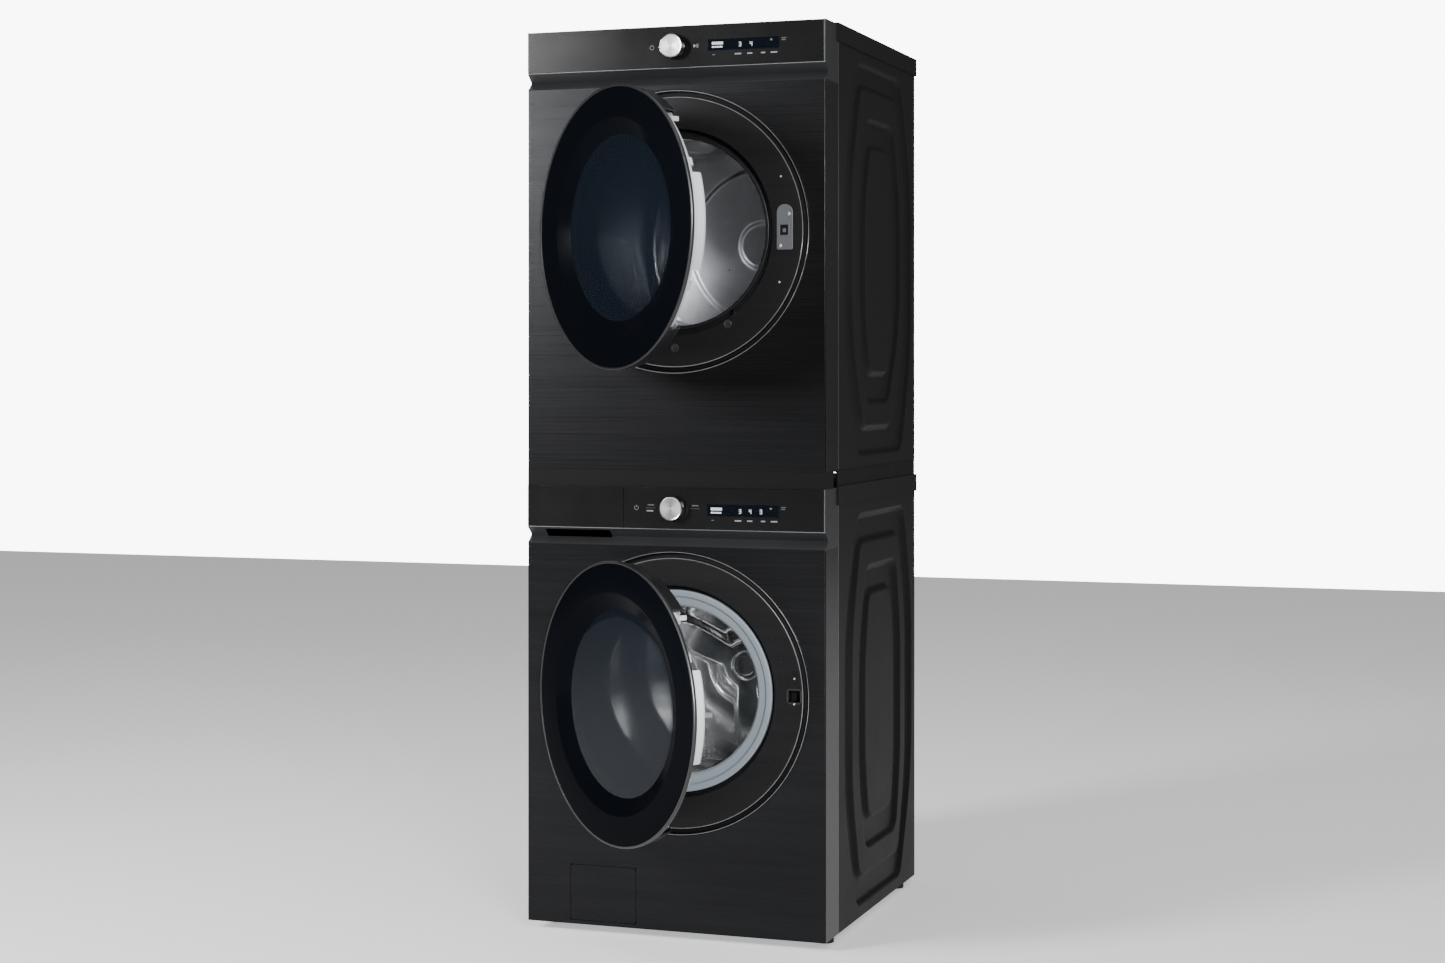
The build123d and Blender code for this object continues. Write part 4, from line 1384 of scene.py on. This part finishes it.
def channel(paint: Palette, kind: str) -> None:
    """The channel round the door opening's plate, its floor painted near black as shade, and beads at
    the plate's rolled edge and the hole's edge, painted bright as highlight lines.

    Args:
        paint: the finishes.
        kind: washer or dryer.
    """
    ring = machine_place(kind).raised(RING_H)
    # The channel floor is near black: painted shade.
    floor = rounded([(293.2, 4.5), (293.2, 11.4, 1.0), (304.2, 11.4, 1.0), (304.2, 6)], closed=False)
    lathe(ring, floor, 192, closed=False).make(f"{kind}_channel", "cabinet", paint["black_and_painted_shade"],
                                               closed=False,
                                               slot="black_plate")
    # Bright beads at the two edges: painted highlight lines.
    t = np.radians(np.arange(0, 360, 2))
    for name, r, d in (("plate_edge", 291.6, 3.4), ("hole_edge", 305.4, 0.6)):
        line = ring.world(r * np.cos(t), d + 0 * t, r * np.sin(t))
        bead(line, 0.9 * MM, 8, closed=True).make(f"{kind}_{name}", "cabinet", paint["painted_highlight_steel"],
                                                  slot="black_plate")


def screw(place: Place, x: float, h: float, r: float, face: float, material: Material,
          name: str) -> None:
    """A pan-head screw on a face at depth face, domed.

    Args:
        place: the machine's frame.
        x: x of its middle.
        h: h of its middle.
        r: the head's radius.
        face: depth of the face it sits on.
        material: the material.
        name: the piece's name.
    """
    head = np.array([(0, -0.35), (0.35, -0.45), (0.7, -0.38), (0.92, -0.2), (1.0, 0.1)]) * r + (0, face)
    lathe(place.raised(h, x), np.vstack([head, [(0, face + 0.1 * r)]]), 20, closed=False).make(
        name, "cabinet", material, slot="hinge_steel")


@dataclass
class DryerMouth:
    """The dryer's opening: surround with its collar, latch plate, plugs, screws and drum."""

    paint: Palette
    drum_r: float = 300.0

    def surround(self) -> None:
        """The plate, the groove inside it painted black as shade, and the collar, cut away below for
        the lint filter.
        """
        ring = machine_place("dryer").raised(RING_H)
        channel(self.paint, "dryer")
        whole = (
            [(314, 14), (314, 12), (292.3, 12), (292, 3, 1.8), (223, 3, 2.5), (221.6, 21.5)],
            [(211.3, 21.5), (211.5, 17.5, 2.5), (203.5, 17.5, 3), (203, 21.5)],
            [(203, 54.5), (203, 60), (204, 60)],
        )
        cut = ([(221.6, 21.5), (221, 28), (211, 28), (211.3, 21.5)], [(203, 21.5), (203, 54.5)])
        parts = [lathe(ring, rounded(path, closed=False), 192, closed=False) for path in whole]
        parts += [lathe(ring, rounded(path, closed=False), 160, closed=False,
                        arc=(-53.0, 233.0)) for path in cut]
        merge(*parts).make(
            "dryer_mouth_plate", "cabinet", self.paint["surround_plate"], closed=False,
            stands_for=["dryer_door_surround"], slot="black_plate")

    def latch(self) -> None:
        """The grey catch plate with a rounded top, a raised square frame and its dark socket."""
        ring = machine_place("dryer").raised(RING_H)
        plate = rounded([(233.6, -42, 4), (269.4, -42, 4), (269.4, 54.9, 17.8), (233.6, 54.9, 17.8)],
                        steps=8)
        slab(ring, plate, 1.0, 3.2, 1.0).make("dryer_catch_plate", "cabinet", self.paint["latch_paint"],
                                              stands_for=["dryer_latch_plate"], slot="latch_zinc")
        frame_bar = [rectangle(x, h, 0.4, 2) for x, h in (
            ((239, 262), (-13.6, -11)), ((239, 262), (11, 13.6)), ((239, 241.4), (-13, 13)),
            ((259.6, 262), (-13, 13)))]
        shape = Shape()
        for outline in frame_bar:
            slab(ring, outline, 0.0, 1.4, 0.5, shape=shape)
        shape.make("dryer_catch_frame", "cabinet", self.paint["latch_paint"], slot="latch_zinc")
        slab(ring, rectangle((241, 260), (-11.5, 11.5), 0.5), 0.8, 1.2, 0.2).make(
            "dryer_catch_socket", "cabinet", self.paint["black_and_painted_shade"], slot="latch_zinc")
        slab(ring, rectangle((247.5, 254.5), (-5, 3), 1.0), 0.4, 1.0, 0.5).make(
            "dryer_catch_tongue", "cabinet", self.paint["latch_paint"], slot="latch_zinc")
        for i, (x, h, r) in enumerate(((260.4, 34.3, 4.0), (241.5, -33.4, 4.0), (242.6, 114.5, 2.4),
                                       (239.2, -111.2, 2.4))):
            screw(ring, x, h, r, 1.0 if r > 3 else 3.0, self.paint["hinge_steel"], f"dryer_screw_{i}")
        for i, (x, h) in enumerate(((122, -199.5), (2, -250.5))):
            plug = rounded([(0, 2.6), (5.6, 2.6, 0.5), (6.4, 1.6, 0.5), (9.0, 1.4, 0.8), (9.4, 3.4)],
                           closed=False)
            lathe(ring.raised(h, x), plug, 32, closed=False).make(
                f"dryer_plug_{i}", "cabinet", self.paint["rim_plastic"], closed=False,
                slot="black_plate")

    def drum(self) -> None:
        """The satin drum: coned front, slightly waved wall and a shallow pressed back.

        The back steps forward 13 mm inside radius 190, and 6 mm more inside radius 60.
        """
        place = machine_place("dryer").raised(RING_H)
        wall = rounded([(216, 66), (297, 98, 12), (297.5, 300, 5), (297, 636, 25), (0, 632)],
                       closed=False, steps=8)
        t = np.linspace(0, 1, 220)
        gaps = np.append(0, np.cumsum(np.linalg.norm(np.diff(wall, axis=0), axis=1)))
        r = np.interp(t * gaps[-1], gaps, wall[:, 0])
        d = np.interp(t * gaps[-1], gaps, wall[:, 1])
        back = smooth((d - 600) / 20)
        d = d - back * (13 * smooth((190 - r) / 9) + 6 * smooth((60 - r) / 10))
        lathe(place, np.stack([r, d], -1), 180, closed=False).make(
            "dryer_drum_shell", "dryer_drum", self.paint["dryer_drum_steel"], closed=False,
            stands_for=["dryer_drum"], slot="drum_steel", sharp=50)

    def build(self) -> None:
        """Make the opening."""
        self.surround()
        self.latch()
        self.drum()
        lifters("dryer", 515.0, 296.0, (110, 610), (117, 237, 357), (34, 12, 71),
                self.paint["dryer_drum_steel"])


@dataclass
class Drawer:
    """The detergent drawer's front."""

    paint: Palette

    def build(self) -> None:
        """A glossy plate like the control panel, with a softly rounded edge."""
        outline = rectangle((-342.0, -117.6), (870.6, 960.4), 1.0)
        slab(machine_place("washer"), outline, 0.0, 4.0, 0.8).make(
            "washer_drawer_face", "detergent_drawer", self.paint["panel_gloss"],
            stands_for=["washer_drawer_front"], slot="gloss_black_panel")


@dataclass
class Studio:
    """Floor, lights and camera."""

    camera_at: tuple[float, float, float] = (1.818, -5.1219, 1.2336)
    turn: float = 19.07
    lens: float = 60.57
    shift: float = -0.0769

    def light(self, name: str, at: Sequence[float], aim: Sequence[float], size: tuple[float, float],
              power: float) -> None:
        """A soft rectangular light that faces a point.

        Args:
            name: the light's name.
            at: where it stands.
            aim: the point that it faces.
            size: its width and height.
            power: its power in watts.
        """
        data = bpy.data.lights.new(name, "AREA")
        data.shape = "RECTANGLE"
        data.size, data.size_y = size
        data.energy = power
        lamp = bpy.data.objects.new(name, data)
        bpy.context.scene.collection.objects.link(lamp)
        self.turn_to(lamp, at, aim)

    def spot(self, name: str, at: Sequence[float], aim: Sequence[float], cone: float,
             power: float) -> None:
        """A narrow soft-edged beam into a door opening; cone is its full angle in degrees.

        Args:
            name: the light's name.
            at: where it stands.
            aim: the point that it faces.
            cone: the beam's full angle in degrees.
            power: its power in watts.
        """
        data = bpy.data.lights.new(name, "SPOT")
        data.spot_size = math.radians(cone)
        data.spot_blend = 0.6
        data.shadow_soft_size = 0.18
        data.energy = power
        lamp = bpy.data.objects.new(name, data)
        bpy.context.scene.collection.objects.link(lamp)
        self.turn_to(lamp, at, aim)

    @staticmethod
    def turn_to(lamp: Object, at: Sequence[float], aim: Sequence[float]) -> None:
        """Put a lamp at a point and face it to another.

        Args:
            lamp: the lamp.
            at: where it stands.
            aim: the point that it faces.
        """
        lamp.location = at
        away = np.array(aim, float) - np.array(at, float)
        away /= np.linalg.norm(away)
        lamp.rotation_euler = (math.acos(-away[2]), 0.0, math.atan2(away[1], away[0]) - math.pi / 2)

    def surroundings(self, scene: Any) -> None:
        """A white world to the camera that gives off only a little light itself.

        Args:
            scene: the scene that gets the world.
        """
        world = bpy.data.worlds.new("studio")
        scene.world = world
        world.use_nodes = True
        tree = world.node_tree
        tree.nodes.clear()
        seen = tree.nodes.new("ShaderNodeLightPath")
        mix = tree.nodes.new("ShaderNodeMixShader")
        end = tree.nodes.new("ShaderNodeOutputWorld")
        tree.links.new(seen.outputs["Is Camera Ray"], mix.inputs[0])
        for slot, strength in ((1, 0.10), (2, 9.0)):
            sky = tree.nodes.new("ShaderNodeBackground")
            sky.inputs[0].default_value = (1.0, 1.0, 1.0, 1.0)
            sky.inputs[1].default_value = strength
            tree.links.new(sky.outputs[0], mix.inputs[slot])
        tree.links.new(mix.outputs[0], end.inputs[0])

    def build(self) -> None:
        """Set the floor, the world, the lights and the camera."""
        scene = bpy.context.scene
        floor = bpy.data.meshes.new("floor")
        floor.from_pydata([(-9, -9, 0), (9, -9, 0), (9, 9, 0), (-9, 9, 0)], [], [(0, 1, 2, 3)])
        stage = bpy.data.objects.new("floor", floor)
        scene.collection.objects.link(stage)
        paint = Paint("floor_paint")
        tone = paint.noise(paint.coords(), 0.6, 2.0)
        floor.materials.append(paint.finish(
            Base_Color=paint.mix(tone, (0.80, 0.80, 0.80), (0.84, 0.84, 0.84)), Roughness=0.8,
            Emission_Color=(1.0, 1.0, 1.0, 1.0), Emission_Strength=0.4))
        self.surroundings(scene)
        self.light("left_softbox", (-2.75, -3.6, 2.45), (-0.3, -0.2, 1.6), (0.9, 1.5), 330.0)
        self.light("fill_softbox", (2.4, -3.9, 2.6), (-0.1, -0.2, 1.1), (1.1, 1.1), 110.0)
        self.spot("washer_spot", (1.9, -3.4, 1.35), (-0.03, 0.0, 0.53), 8.5, 2200.0)
        self.spot("dryer_spot", (1.9, -3.4, 2.1), (-0.03, 0.0, 1.52), 8.5, 1500.0)
        self.light("low_fill", (1.3, -4.4, 0.5), (0.0, 0.0, 0.55), (1.0, 0.5), 12.0)
        self.light("top_softbox", (0.2, -0.6, 5.2), (0.1, 0.1, 0.0), (5.0, 4.0), 120.0)
        self.light("rear_softbox", (3.2, 3.4, 1.9), (0.34, 0.1, 1.2), (0.8, 2.6), 12.0)
        camera = bpy.data.cameras.new("camera")
        camera.lens = self.lens
        camera.sensor_width = 36.0
        camera.shift_y = self.shift
        holder = bpy.data.objects.new("camera", camera)
        holder.location = self.camera_at
        holder.rotation_euler = (math.radians(90), 0.0, math.radians(self.turn))
        scene.collection.objects.link(holder)
        scene.camera = holder


def dress_rest(paint: Palette) -> None:
    """Give the CAD nodes that stay their finishes.

    Args:
        paint: the finishes.
    """
    finishes = {
        "zinc_sheet": ("dryer_drum_supports", "washer_suspension"),
        "kit_paint": ("stack_trim", "stack_rails"),
        "front_steel": ("washer_drain_flap",),
        "hinge_steel": ("hinge_brackets", "washer_door_hook", "washer_drum_shaft", "washer_bearings",
                        "dryer_motor_shaft"),
        "black_and_painted_shade": ("dryer_air_duct", "washer_door_lock", "washer_drawer_housing",
                        "washer_inlet_valves"),
        "white_plastic": ("washer_drawer_tray", "washer_drain_pump", "washer_tub"),
        "rim_plastic": ("dryer_lint_filter",),
        "cast_block": ("washer_counterweight", "washer_motor_stator", "dryer_motor"),
        "black_rubber": ("washer_feet", "dryer_belt", "dryer_roller_left", "dryer_roller_right"),
    }
    for finish, nodes in finishes.items():
        for node in nodes:
            dress(node, paint[finish])


def main() -> None:
    """Build every sub-assembly in order."""
    logging.basicConfig(level=logging.INFO, format="%(name)s %(message)s")
    paint = Palette()
    for kind in ("washer", "dryer"):
        Cabinet(kind, paint).build()
    Controls("washer", paint, -116.4, ((149.0, "3"), (172.0, "4"), (196.0, "3")), -86.0, None,
             (76.6, 239.0, 900.0, 925.5)).build()
    Controls("dryer", paint, -342.0, ((149.0, "3"), (174.0, "4")), -50.0, 51.0).build()
    Door("washer", paint, (-57.0, 46.0), 172.0).build()
    Door("dryer", paint, (-47.0, 52.0), 190.0, grip_r=288.0).build()
    WasherMouth(paint).build()
    DryerMouth(paint).build()
    Drawer(paint).build()
    dress_rest(paint)
    Studio().build()


if __name__ == "__main__":
    main()
